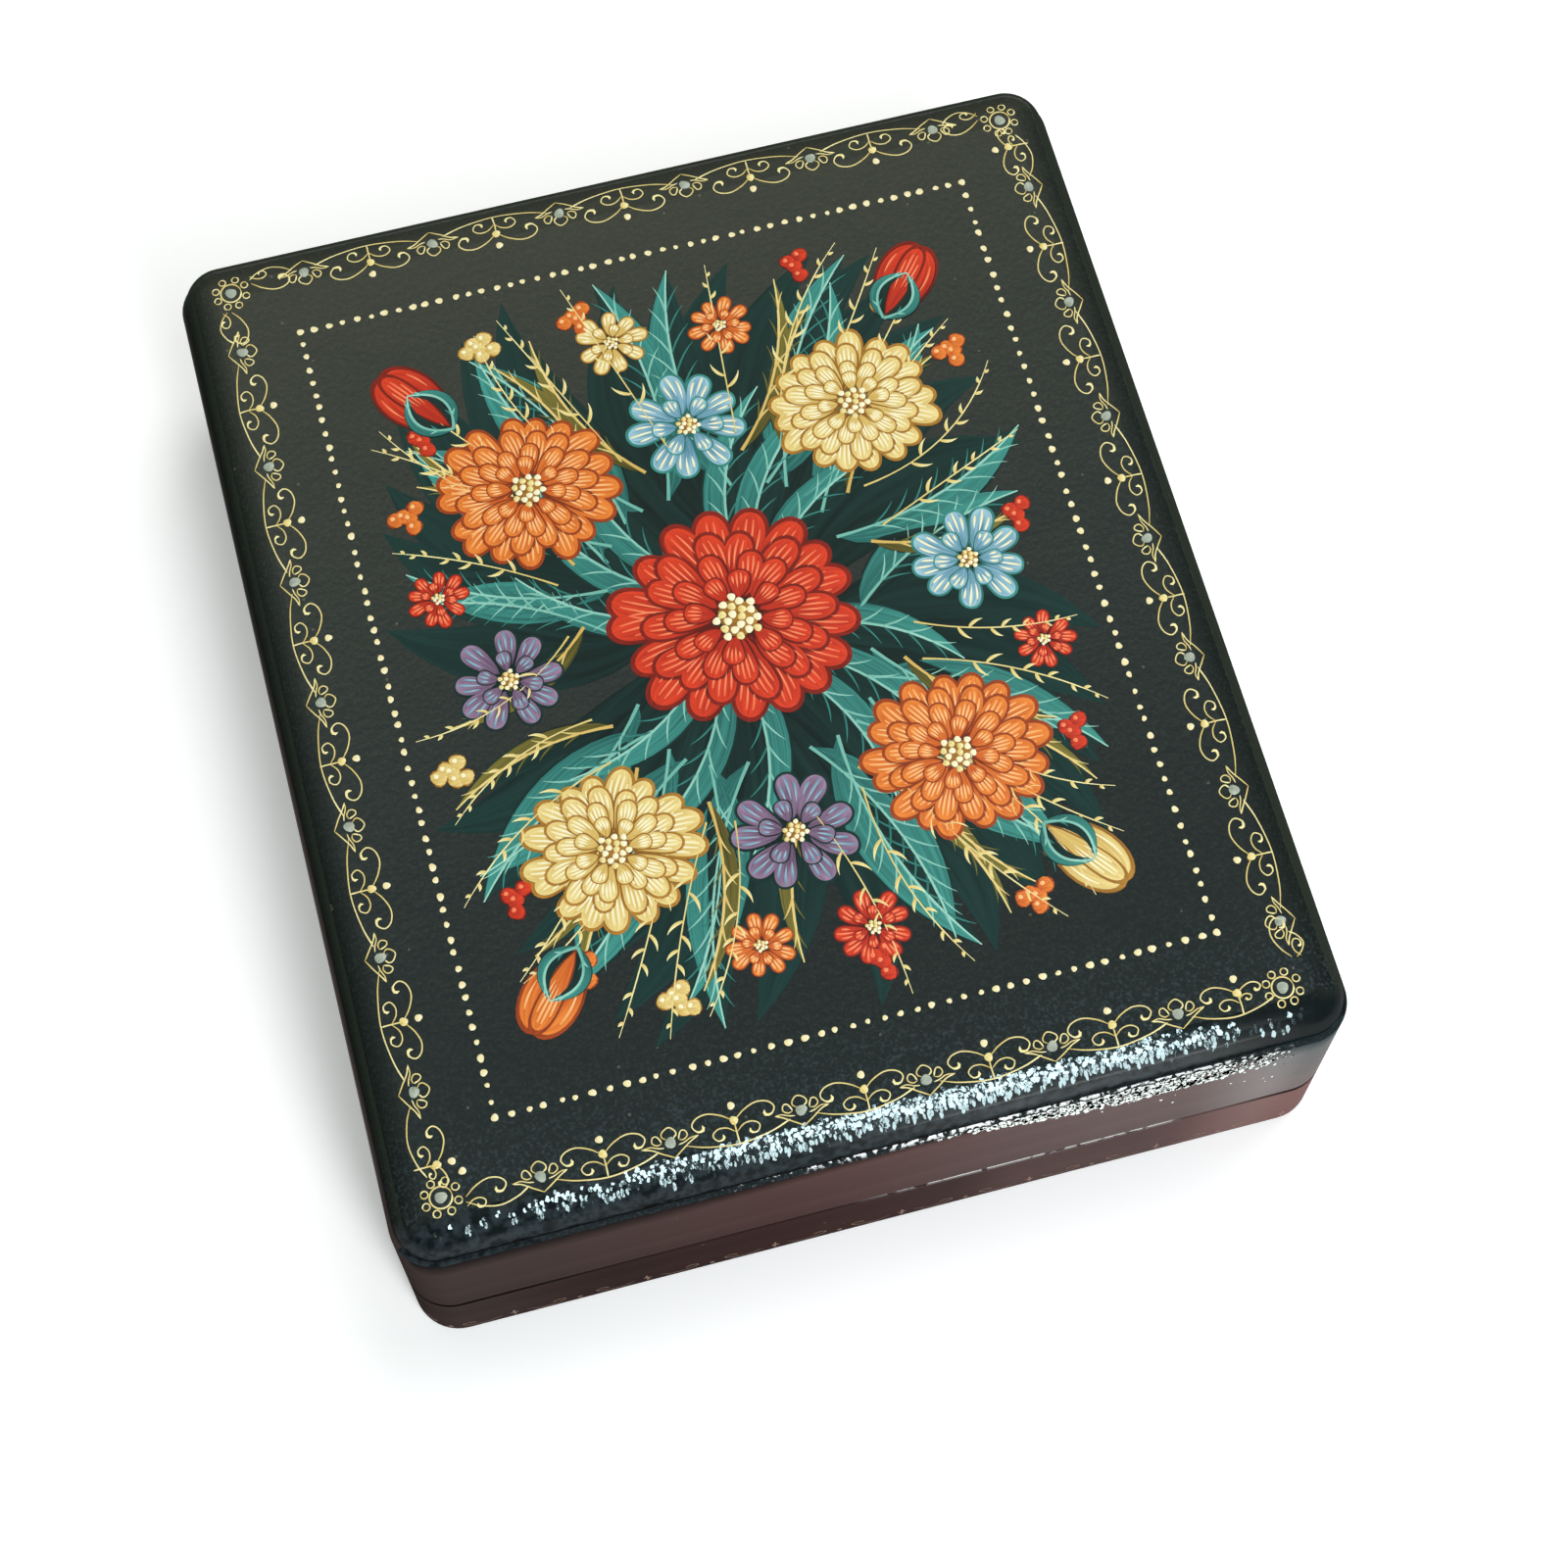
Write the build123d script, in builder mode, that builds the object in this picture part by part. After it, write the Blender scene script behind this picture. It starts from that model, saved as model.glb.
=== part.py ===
"""Lacquered papier-mache box with a barrel hinge set in its back seam.

The frame of the box: X runs left to right, Y from the front to the hinged back, Z up.
The origin is the middle of the underside. All sizes are in millimetres.
"""

import os
from math import radians, tan

from build123d import *

# Outside of the box
BOX_WIDTH = 108.0
BOX_DEPTH = 126.5
CORNER_RADIUS = 5.2

# Wound walls, shared by the tray and the lid
WALL = 4.2
INNER_CORNER_RADIUS = 2.0
RIM_RADIUS = 0.4

# Tray
FLOOR_THICKNESS = 3.0
FOOT_RADIUS = 1.6
TRAY_HEIGHT = 12.45

# Collar glued inside the tray, which keeps the closed lid in place
COLLAR_THICKNESS = 1.3
COLLAR_RISE = 2.8
COLLAR_FIT = 0.3
COLLAR_LEAD = 0.5
COLLAR_CORNER_RADIUS = 1.0

# Lid
SEAM_GAP = 0.2
LID_WALL_HEIGHT = 18.25
SHOULDER_RADIUS = 0.6
PANEL_THICKNESS = 4.7
PANEL_INSET = 0.6
PANEL_ROLL = 3.8

# Barrel hinge, let into the thickness of the back wall
BARREL_WEB = 0.45
BARREL_RUN = 0.2
BARREL_SET_IN = 0.15
BARREL_END_GAP = 0.3
TRAY_BARREL_LENGTH = 34.0
LID_BARREL_LENGTH = 16.0
PIN_RADIUS = 0.6
PIN_RUN = 0.04
PIN_END_DEPTH = 1.0
LID_OPENING_ANGLE = 100.0
BEVEL_RELIEF = 0.3

# Heights that the pieces share
LID_BOTTOM = TRAY_HEIGHT + SEAM_GAP
LID_SHOULDER = LID_BOTTOM + LID_WALL_HEIGHT
COLLAR_TOP = TRAY_HEIGHT + COLLAR_RISE

# Barrel and pin axis, midway in the seam
BARREL_RADIUS = (WALL - BARREL_WEB - BARREL_RUN - BARREL_SET_IN) / 2
HINGE_INSET = BARREL_SET_IN + BARREL_RADIUS
HINGE_Y = BOX_DEPTH / 2 - HINGE_INSET
HINGE_Z = TRAY_HEIGHT + SEAM_GAP / 2
LID_BARREL_START = TRAY_BARREL_LENGTH / 2 + BARREL_END_GAP
LID_BARREL_END = LID_BARREL_START + LID_BARREL_LENGTH
LID_BARREL_MIDDLE = (LID_BARREL_START + LID_BARREL_END) / 2

# The two back edges lean away from the axis, half the opening each, so that the open lid rests on the tray
BEVEL_START = HINGE_Y - BEVEL_RELIEF
BEVEL_RUN = HINGE_INSET + 2 * BEVEL_RELIEF
BEVEL_RISE = BEVEL_RUN * tan(radians(LID_OPENING_ANGLE / 2))

# A rounded edge is never larger than the piece that it is cut on
PANEL_CORNER_RADIUS = CORNER_RADIUS - PANEL_INSET
FILLET_SHARE = 0.9
ROLL_LIMIT = FILLET_SHARE * min(PANEL_CORNER_RADIUS, PANEL_THICKNESS)
FOOT_LIMIT = FILLET_SHARE * FLOOR_THICKNESS
COLLAR_LEAD_LIMIT = FILLET_SHARE * (COLLAR_THICKNESS - COLLAR_FIT)


def plan(inset, radius, mode=Mode.ADD):
    """The box's rounded plan, drawn in from the outside by the inset."""
    return RectangleRounded(BOX_WIDTH - 2 * inset, BOX_DEPTH - 2 * inset, radius, mode=mode)


def bevel_back_edge(rise):
    """Leans the back edge away from the hinge axis: downwards on the tray, upwards on the lid."""
    with BuildSketch(Plane.YZ) as wedge:
        with BuildLine():
            Polyline(
                (BEVEL_START, HINGE_Z),
                (BEVEL_START + BEVEL_RUN, HINGE_Z),
                (BEVEL_START + BEVEL_RUN, HINGE_Z + rise),
                close=True,
            )
        make_face()
    extrude(wedge.sketch, amount=BOX_WIDTH / 2, both=True, mode=Mode.SUBTRACT)


def cut_barrel_seat(start, end, radius):
    """A half-round seat for a stretch of the barrel, between two places along X."""
    with BuildSketch(Plane.YZ.offset(start)) as seat:
        with Locations((HINGE_Y, HINGE_Z)):
            Circle(radius)
    extrude(seat.sketch, amount=end - start, mode=Mode.SUBTRACT)


def barrel(middle, length, bore):
    """One length of the hinge barrel, bored for the pin."""
    with BuildPart() as piece:
        with BuildSketch(Plane.YZ.offset(middle - length / 2)):
            with Locations((HINGE_Y, HINGE_Z)):
                Circle(BARREL_RADIUS)
                Circle(bore, mode=Mode.SUBTRACT)
        extrude(amount=length)
    return piece


# Tray floor: a pressed board under the wall, with the soft foot edge that the box stands in
with BuildPart() as tray_floor:
    with BuildSketch():
        plan(0, CORNER_RADIUS)
    extrude(amount=FLOOR_THICKNESS)
    foot_edges = tray_floor.faces().sort_by(Axis.Z)[0].edges()
    fillet(foot_edges, min(FOOT_RADIUS, FOOT_LIMIT))

# Tray wall: one wound ring on the floor, with its rim softened, its back edge bevelled and the barrel let in
with BuildPart() as tray_wall:
    with BuildSketch(Plane.XY.offset(FLOOR_THICKNESS)):
        plan(0, CORNER_RADIUS)
        plan(WALL, INNER_CORNER_RADIUS, Mode.SUBTRACT)
    extrude(amount=TRAY_HEIGHT - FLOOR_THICKNESS)
    fillet(tray_wall.faces().sort_by(Axis.Z)[-1].outer_wire().edges(), RIM_RADIUS)
    bevel_back_edge(-BEVEL_RISE)
    cut_barrel_seat(-TRAY_BARREL_LENGTH / 2, TRAY_BARREL_LENGTH / 2, BARREL_RADIUS)
    lid_run_start = LID_BARREL_START - BARREL_END_GAP
    lid_run_end = LID_BARREL_END + BARREL_END_GAP
    cut_barrel_seat(lid_run_start, lid_run_end, BARREL_RADIUS + BARREL_RUN)
    cut_barrel_seat(-lid_run_end, -lid_run_start, BARREL_RADIUS + BARREL_RUN)

# Collar: a thin wound ring inside the tray, sanded back above the seam so that the lid slips over it
with BuildPart() as tray_collar:
    with BuildSketch(Plane.XY.offset(FLOOR_THICKNESS)):
        plan(WALL, INNER_CORNER_RADIUS)
    extrude(amount=TRAY_HEIGHT - FLOOR_THICKNESS)
    with BuildSketch(Plane.XY.offset(TRAY_HEIGHT)):
        plan(WALL + COLLAR_FIT, INNER_CORNER_RADIUS - COLLAR_FIT)
    extrude(amount=COLLAR_RISE)
    fillet(tray_collar.faces().sort_by(Axis.Z)[-1].edges(), min(COLLAR_LEAD, COLLAR_LEAD_LIMIT))
    with BuildSketch(Plane.XY.offset(FLOOR_THICKNESS)):
        plan(WALL + COLLAR_THICKNESS, COLLAR_CORNER_RADIUS)
    extrude(amount=COLLAR_TOP - FLOOR_THICKNESS, mode=Mode.SUBTRACT)

# Lid wall: the deeper wound ring, rounded at the shoulder under the panel and at both edges of its rim
with BuildPart() as lid_wall:
    with BuildSketch(Plane.XY.offset(LID_BOTTOM)):
        plan(0, CORNER_RADIUS)
        plan(WALL, INNER_CORNER_RADIUS, Mode.SUBTRACT)
    extrude(amount=LID_WALL_HEIGHT)
    fillet(lid_wall.faces().sort_by(Axis.Z)[-1].outer_wire().edges(), SHOULDER_RADIUS)
    fillet(lid_wall.faces().sort_by(Axis.Z)[0].edges(), RIM_RADIUS)
    bevel_back_edge(BEVEL_RISE)
    tray_run_end = TRAY_BARREL_LENGTH / 2 + BARREL_END_GAP
    cut_barrel_seat(-tray_run_end, tray_run_end, BARREL_RADIUS + BARREL_RUN)
    cut_barrel_seat(LID_BARREL_START, LID_BARREL_END, BARREL_RADIUS)
    cut_barrel_seat(-LID_BARREL_END, -LID_BARREL_START, BARREL_RADIUS)

# Lid panel: the pressed top board, with its edge rolled over to the shoulder
with BuildPart() as lid_panel:
    with BuildSketch(Plane.XY.offset(LID_SHOULDER)):
        plan(PANEL_INSET, PANEL_CORNER_RADIUS)
    extrude(amount=PANEL_THICKNESS)
    fillet(lid_panel.faces().sort_by(Axis.Z)[-1].edges(), min(PANEL_ROLL, ROLL_LIMIT))

# Hinge: the tray carries the middle of the barrel and the pin, the lid carries the two ends
tray_barrel = barrel(0, TRAY_BARREL_LENGTH, PIN_RADIUS)
lid_barrel_right = barrel(LID_BARREL_MIDDLE, LID_BARREL_LENGTH, PIN_RADIUS + PIN_RUN)
lid_barrel_left = barrel(-LID_BARREL_MIDDLE, LID_BARREL_LENGTH, PIN_RADIUS + PIN_RUN)

with BuildPart() as hinge_pin:
    pin_length = 2 * (LID_BARREL_END - PIN_END_DEPTH)
    with BuildSketch(Plane.YZ.offset(-pin_length / 2)):
        with Locations((HINGE_Y, HINGE_Z)):
            Circle(PIN_RADIUS)
    extrude(amount=pin_length)

pieces = {
    "tray_floor": tray_floor,
    "tray_wall": tray_wall,
    "tray_collar": tray_collar,
    "tray_barrel": tray_barrel,
    "hinge_pin": hinge_pin,
    "lid_wall": lid_wall,
    "lid_panel": lid_panel,
    "lid_barrel_right": lid_barrel_right,
    "lid_barrel_left": lid_barrel_left,
}

os.makedirs("parts", exist_ok=True)
for piece_name, piece in pieces.items():
    piece.part.label = piece_name
    export_step(piece.part, f"parts/{piece_name}.step")
    print(piece_name, "volume", round(piece.part.volume), "cubic mm")
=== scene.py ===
# %% [markdown]
# # A lacquered box with a painted lid
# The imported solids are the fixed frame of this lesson: nine pieces of wound and pressed paper and a hinge.
# Blender gives them what a solid can't show: deep lacquer, a softly rolled lid, and paint that lies on top.
# We load the frame first and note its box, because nothing that we add may make the object larger.

# %% Load the frame
import math
import random
from functools import lru_cache
from typing import NamedTuple

import bpy
import numpy as np
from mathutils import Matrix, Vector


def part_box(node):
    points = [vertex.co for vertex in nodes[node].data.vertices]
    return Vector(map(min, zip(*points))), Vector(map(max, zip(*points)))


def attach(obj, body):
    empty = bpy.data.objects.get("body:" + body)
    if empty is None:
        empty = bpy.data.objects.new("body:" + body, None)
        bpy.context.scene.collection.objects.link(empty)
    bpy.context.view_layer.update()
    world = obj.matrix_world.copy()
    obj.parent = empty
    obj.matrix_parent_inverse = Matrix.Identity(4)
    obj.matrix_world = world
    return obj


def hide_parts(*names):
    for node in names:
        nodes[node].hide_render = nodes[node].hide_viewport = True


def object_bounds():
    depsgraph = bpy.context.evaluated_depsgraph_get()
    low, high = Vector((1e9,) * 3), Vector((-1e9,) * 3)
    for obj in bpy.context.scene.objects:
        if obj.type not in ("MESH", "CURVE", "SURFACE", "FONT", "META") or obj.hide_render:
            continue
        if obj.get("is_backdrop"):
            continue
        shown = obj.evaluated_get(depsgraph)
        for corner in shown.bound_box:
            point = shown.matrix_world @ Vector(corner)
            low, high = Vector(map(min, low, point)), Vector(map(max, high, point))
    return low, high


MM = 0.001
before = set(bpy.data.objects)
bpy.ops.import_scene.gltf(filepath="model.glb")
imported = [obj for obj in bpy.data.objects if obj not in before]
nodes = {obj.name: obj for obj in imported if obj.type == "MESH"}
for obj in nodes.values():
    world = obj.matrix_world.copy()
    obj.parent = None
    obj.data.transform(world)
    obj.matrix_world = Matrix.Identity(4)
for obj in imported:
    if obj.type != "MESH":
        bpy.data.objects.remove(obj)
CAD_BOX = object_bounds()


def box_in_mm(box):
    """The two corners of a box in mm, rounded for reading."""
    return [tuple(round(c / MM, 2) for c in corner) for corner in box]


print("nodes", sorted(nodes))
print("box of the solids", box_in_mm(CAD_BOX))

# %% [markdown]
# ## The top board
# The lid's top is a pressed board with a softly rolled edge, so a lamp draws one long highlight along it.
# A bevel modifier on a cube could give that roll, but the paint has to lie on the same surface.
# So one small function says how high the board is at any place, and both the board and the brush use it.

# %% Shape of the board
board_low, board_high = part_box("lid_panel")
HALF_WIDTH = board_high.x / MM
HALF_DEPTH = board_high.y / MM
BOARD_BASE = board_low.z / MM
PAINT_ROOM = 0.2
BOARD_TOP = board_high.z / MM - PAINT_ROOM
BOARD_CORNER = 4.6
ROLL_WIDTH = 4.5
ROLL_DROP = 3.8
CROWN_SAG = 0.2


def depth_inside(x, y):
    """How far a place lies inside the board's rounded outline, in mm."""
    reach_x = np.abs(x) - (HALF_WIDTH - BOARD_CORNER)
    reach_y = np.abs(y) - (HALF_DEPTH - BOARD_CORNER)
    outside = np.hypot(np.maximum(reach_x, 0), np.maximum(reach_y, 0))
    inside = np.minimum(np.maximum(reach_x, reach_y), 0)
    return BOARD_CORNER - outside - inside


def board_height(x, y):
    """Height of the board's surface: a faint crown, then the roll at the edge."""
    crown = (1 - (x / HALF_WIDTH) ** 2) * (1 - (y / HALF_DEPTH) ** 2)
    share = np.clip(depth_inside(x, y) / ROLL_WIDTH, 0, 1)
    roll = 1 - np.sqrt(np.maximum(1 - (1 - share) ** 2, 0))
    return BOARD_TOP - CROWN_SAG * (1 - crown) - ROLL_DROP * roll


print("board", round(2 * HALF_WIDTH, 2), "by", round(2 * HALF_DEPTH, 2), "mm, top at", round(BOARD_TOP, 2))

# %% [markdown]
# The board is built from rings, like an onion cut flat: each ring is one rounded outline, drawn further in.
# A few helpers turn rings into a piece: an outline with a fixed number of points, the faces between two
# rings, and a function that makes an object of them. The shoulder, the flakes and the paint use them too.

# %% Rings and pieces
CORNER_STEPS = 14
SIDE_STEPS = 26
RING_SMOOTHING = 50


def rounded_outline(half_x, half_y, radius):
    """Points round a rounded rectangle, counter-clockwise, the same number for every size."""
    arcs = []
    for turn, (side_x, side_y) in enumerate(((1, -1), (1, 1), (-1, 1), (-1, -1))):
        angles = math.pi / 2 * (turn - 1 + np.linspace(0, 1, CORNER_STEPS + 1))
        centre = np.array([side_x * (half_x - radius), side_y * (half_y - radius)])
        arcs.append(centre + radius * np.column_stack([np.cos(angles), np.sin(angles)]))
    stretches = []
    for arc, following in zip(arcs, arcs[1:] + arcs[:1]):
        side = np.linspace(arc[-1], following[0], SIDE_STEPS + 1)[1:-1]
        stretches += [arc, side]
    return np.vstack(stretches)


def ring_at(outline, height):
    """An outline lifted to one height, or to a height for each of its points."""
    return np.column_stack([outline, np.broadcast_to(height, len(outline))])


def faces_between(low, high, count):
    """Faces between two rings, each given by the number of its first point."""
    after = [(k + 1) % count for k in range(count)]
    return [(low + k, low + after[k], high + after[k], high + k) for k in range(count)]


def new_piece(name, points, faces, smoothing=None):
    """An object from points in mm, smooth where its faces turn less than the given degrees."""
    mesh = bpy.data.meshes.new(name)
    mesh.from_pydata((points * MM).tolist(), [], faces)
    if smoothing is not None:
        mesh.shade_smooth()
        mesh.set_sharp_from_angle(angle=math.radians(smoothing))
    piece = bpy.data.objects.new(name, mesh)
    bpy.context.scene.collection.objects.link(piece)
    return piece


def piece_from_rings(name, rings, tube=False):
    """One closed piece from rings: with a cap at both ends, or joined end to end as a tube."""
    count = len(rings[0])
    starts = [level * count for level in range(len(rings))]
    faces = [] if tube else [tuple(reversed(range(count)))]
    for low, high in zip(starts, starts[1:]):
        faces += faces_between(low, high, count)
    if tube:
        faces += faces_between(starts[-1], starts[0], count)
    else:
        faces.append(tuple(range(starts[-1], starts[-1] + count)))
    return new_piece(name, np.vstack(rings), faces, RING_SMOOTHING)


print("points in a ring", len(rounded_outline(HALF_WIDTH, HALF_DEPTH, BOARD_CORNER)))

# %% [markdown]
# The rings crowd together on the roll, where the surface turns fastest, and spread out on the flat.

# %% Build the board
UNDERSIDE_RINGS = ((0.25, 0.0), (0.08, 0.05), (0.0, 0.2))
ROLL_RINGS = 30
SMALLEST_CORNER = 0.1
FLAT_SCALES = (0.97, 0.9, 0.8, 0.68, 0.54, 0.4, 0.26, 0.12, 0.03)


def board_outline(inset):
    """The board's outline, drawn in by the inset."""
    radius = max(BOARD_CORNER - inset, SMALLEST_CORNER)
    return rounded_outline(HALF_WIDTH - inset, HALF_DEPTH - inset, radius)


def board_rings():
    """All rings of the board from its underside, over the roll, to the middle of the top."""
    underside = [ring_at(board_outline(inset), BOARD_BASE + height) for inset, height in UNDERSIDE_RINGS]
    outlines = [board_outline(share * ROLL_WIDTH) for share in np.linspace(0, 1, ROLL_RINGS) ** 2]
    outlines += [outlines[-1] * scale for scale in FLAT_SCALES]
    return underside + [ring_at(outline, board_height(*outline.T)) for outline in outlines]


BOARD_RINGS = board_rings()
lid_board = piece_from_rings("lid_board", BOARD_RINGS)
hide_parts("lid_panel")
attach(lid_board, "lid")
print("lid board faces", len(lid_board.data.polygons))

# %% [markdown]
# Under the board the wall ends in a small rounded shoulder. The black of the top was carried over it, so
# it catches the front lamp too and draws a second, thinner highlight. A thin skin over it shows that.

# %% The lacquer that runs over the shoulder
wall_low, wall_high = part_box("lid_wall")
WALL_HALF_WIDTH = wall_high.x / MM
WALL_HALF_DEPTH = wall_high.y / MM
WALL_CORNER = 5.2
SHOULDER_TOP = wall_high.z / MM
SHOULDER_RADIUS = 0.6
SKIN = 0.012
SKIN_ANGLES = (8, 76)
UNDERSIDE_STEPS = 3
OUTSIDE_STEPS = 8


def shoulder_ring(angle, lift):
    """A ring on the shoulder, at an angle from its top to the wall, raised by the lift."""
    inset = SHOULDER_RADIUS - (SHOULDER_RADIUS + lift) * math.sin(math.radians(angle))
    drop = SHOULDER_RADIUS - (SHOULDER_RADIUS + lift) * math.cos(math.radians(angle))
    outline = rounded_outline(WALL_HALF_WIDTH - inset, WALL_HALF_DEPTH - inset, WALL_CORNER - inset)
    return ring_at(outline, SHOULDER_TOP - drop)


def shoulder_skin():
    """The rings of the skin: up its underside, then down the outside, short of the upright wall."""
    top, bottom = SKIN_ANGLES
    underside = [shoulder_ring(angle, -SKIN) for angle in np.linspace(bottom, top, UNDERSIDE_STEPS)]
    outside = [shoulder_ring(angle, SKIN) for angle in np.linspace(top, bottom, OUTSIDE_STEPS)]
    return underside + outside


shoulder_lacquer = piece_from_rings("shoulder_lacquer", shoulder_skin(), tube=True)
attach(shoulder_lacquer, "lid")
print("shoulder lacquer faces", len(shoulder_lacquer.data.polygons))

# %% [markdown]
# ## A brush
# Paint on lacquer is a thin body with a rounded back, thick where the brush was loaded and thin at the end.
# A flat texture would lose that, so every mark is a small mesh: a strip along a line, five points across.
# Marks of one paint are collected in a pot and become one piece. Its UV layer tells along and across.
# A seeded wobble stands for the painter's hand.

# %% The paint pots
LINE_BODY = 0.035
PETAL_BODY = 0.005
LAYER_STEP = 0.007
LOWEST_LAYER = 0.008
ACROSS = np.array([-1.0, -0.6, 0.0, 0.6, 1.0])
DOME = np.array([0.0, 0.72, 1.0, 0.72, 0.0])
hand = random.Random(11)
pots = {}


class PaintPot:
    """The marks of one paint: places on a surface, heights above it, brush directions and faces."""

    def __init__(self):
        self.places = []
        self.heights = []
        self.brush = []
        self.faces = []
        self.points = 0
        self.marks = 0

    def add(self, places, heights, along, across, faces):
        self.places.append(places)
        self.heights.append(heights)
        self.brush.append(np.column_stack([self.marks + along, across]))
        self.faces.extend([tuple(k + self.points for k in face) for face in faces])
        self.points += len(places)
        self.marks += 1


def pot(name):
    """The pot of that paint, opened when it is first used."""
    return pots.setdefault(name, PaintPot())


def wobble(amount):
    """A small deviation of the hand, the same at every run."""
    return hand.uniform(-amount, amount)


def height_of(layer):
    """How high a layer of paint lies above the surface, in mm."""
    return LOWEST_LAYER + LAYER_STEP * layer


print("points across a stroke", len(ACROSS))

# %% Strokes and dots
THINNEST = 0.03
DOT_RINGS = ((1.0, 0.0), (0.75, 0.62), (0.4, 0.93))
DOT_POINTS = 12
DOT_ANGLES = 2 * math.pi * np.arange(DOT_POINTS) / DOT_POINTS
DOT_SWELLS = ((3, 0.07), (2, 0.05))


def side_of(path):
    """The direction to the left of each step of a path."""
    heading = np.gradient(path, axis=0)
    heading /= np.linalg.norm(heading, axis=1)[:, None] + 1e-9
    return np.column_stack([-heading[:, 1], heading[:, 0]])


@lru_cache(maxsize=None)
def strip_faces(steps):
    """Faces of one stroke: its back, its underside and its two ends."""
    wide = len(ACROSS)
    faces = []
    for row in range(steps - 1):
        near = row * wide
        far = near + wide
        for k in range(wide - 1):
            faces.append((near + k, far + k, far + k + 1, near + k + 1))
        faces.append((near + wide - 1, far + wide - 1, far, near))
    faces.append(tuple(range(wide)))
    faces.append(tuple(reversed(range((steps - 1) * wide, steps * wide))))
    return faces


def stroke(paint, path, widths, layer=0.0, body=PETAL_BODY):
    """One brush stroke along a path, as wide as the widths say."""
    steps = len(path)
    half = np.maximum(widths, THINNEST) / 2
    offsets = half[:, None] * ACROSS
    places = path[:, None, :] + side_of(path)[:, None, :] * offsets[:, :, None]
    thickness = np.minimum(body, 0.5 * half)
    heights = height_of(layer) + thickness[:, None] * DOME
    along = np.repeat(np.linspace(0.02, 0.98, steps), len(ACROSS))
    across = np.tile((ACROSS + 1) / 2, steps)
    pot(paint).add(places.reshape(-1, 2), heights.ravel(), along, across, strip_faces(steps))


@lru_cache(maxsize=None)
def dot_faces():
    """Faces of one dot: rings of a low dome, closed at the top and underneath."""
    starts = [ring * DOT_POINTS for ring in range(len(DOT_RINGS))]
    faces = [tuple(reversed(range(DOT_POINTS)))]
    for low, high in zip(starts, starts[1:]):
        faces += faces_between(low, high, DOT_POINTS)
    faces.append(tuple(range(starts[-1], starts[-1] + DOT_POINTS)))
    return faces


def dot(paint, centre, radius, layer=0.0, body=LINE_BODY, stretch=1.0, turn=0.0):
    """One dab of paint, a little uneven as a loaded brush leaves it."""
    uneven = 1 + sum(depth * np.sin(lobes * DOT_ANGLES + wobble(3)) for lobes, depth in DOT_SWELLS)
    rim = np.column_stack([stretch * np.cos(DOT_ANGLES), np.sin(DOT_ANGLES)]) * (radius * uneven)[:, None]
    cosine, sine = math.cos(turn), math.sin(turn)
    turned = rim @ np.array([[cosine, sine], [-sine, cosine]])
    shares, lifts = np.array(DOT_RINGS).T
    places = np.asarray(centre) + shares[:, None, None] * turned
    heights = np.repeat(height_of(layer) + body * lifts, DOT_POINTS)
    spread = np.repeat(shares, DOT_POINTS)
    along = 0.5 + 0.45 * spread * np.tile(np.cos(DOT_ANGLES), len(DOT_RINGS))
    across = 0.5 + 0.5 * spread * np.tile(np.sin(DOT_ANGLES), len(DOT_RINGS))
    pot(paint).add(places.reshape(-1, 2), heights, along, across, dot_faces())


print("faces of a ten-step stroke", len(strip_faces(10)), "and of a dot", len(dot_faces()))

# %% [markdown]
# A stroke needs a line to follow. One helper draws a smooth line through a few points, one bows a straight
# line sideways, and one walks round a circle in spokes that are a little off their even places.
# Three widths are enough: an even pen line, a leaf pointed at both ends, and a petal with a round tip.

# %% Lines and widths
PETAL_STEPS = 1 - (1 - np.linspace(0, 1, 13)) ** 1.7
LEAF_STEPS = np.linspace(0, 1, 14)
PEN_PLACES = (0, 0.15, 0.8, 0.95, 1)
FINE_STEPS = 8


def curve_through(points, steps):
    """Even steps along a smooth line through the points."""
    points = np.asarray(points, float)
    before = 2 * points[0] - points[1]
    after = 2 * points[-1] - points[-2]
    knots = np.vstack([before, points, after])
    t = np.linspace(0, len(points) - 1, FINE_STEPS * steps)
    span = np.minimum(t.astype(int), len(points) - 2)
    f = (t - span)[:, None]
    a, b, c, d = (knots[span + k] for k in range(4))
    cubic = 3 * b - a - 3 * c + d
    square = 2 * a - 5 * b + 4 * c - d
    fine = b + 0.5 * f * ((c - a) + f * (square + f * cubic))
    lengths = np.linalg.norm(np.diff(fine, axis=0), axis=1)
    run = np.concatenate([[0], np.cumsum(lengths)])
    even = np.linspace(0, run[-1], steps)
    return np.column_stack([np.interp(even, run, fine[:, 0]), np.interp(even, run, fine[:, 1])])


def bowed(base, tip, bow, shares):
    """Points at these shares of a line from base to tip that bows to its left."""
    base = np.asarray(base, float)
    run = np.asarray(tip, float) - base
    left = np.array([-run[1], run[0]])
    shares = np.asarray(shares)[:, None]
    return base + run * shares + left * (4 * bow * shares * (1 - shares))


def direction(angle):
    """The unit vector at an angle."""
    return np.array([math.cos(angle), math.sin(angle)])


def circle(centre, radius, start, steps):
    """A closed line round a centre, from a starting angle."""
    turns = np.linspace(start, start + 2 * math.pi, steps)
    return centre + radius * np.column_stack([np.cos(turns), np.sin(turns)])


def spokes(count, start, spread):
    """Numbers and angles of spokes round a circle, each a little off its even place."""
    for k in range(count):
        yield k, 2 * math.pi * (k + start + wobble(spread)) / count


def pen_widths(steps, width, start=0.5, end=1.25):
    """A pen line: set down lightly, even, and a little heavier where it stops."""
    return width * np.interp(np.linspace(0, 1, steps), PEN_PLACES, (start, 1, 1, end, 0.5))


def leaf_widths(shares, width):
    """Pointed at both ends and fullest before the middle."""
    return width * np.sin(np.pi * shares**0.8) ** 0.9


def petal_widths(shares, width):
    """Narrow at the base and round at the tip."""
    return width * 1.15 * shares**0.6 * np.sqrt(np.maximum(1 - shares**4, 0))


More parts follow.
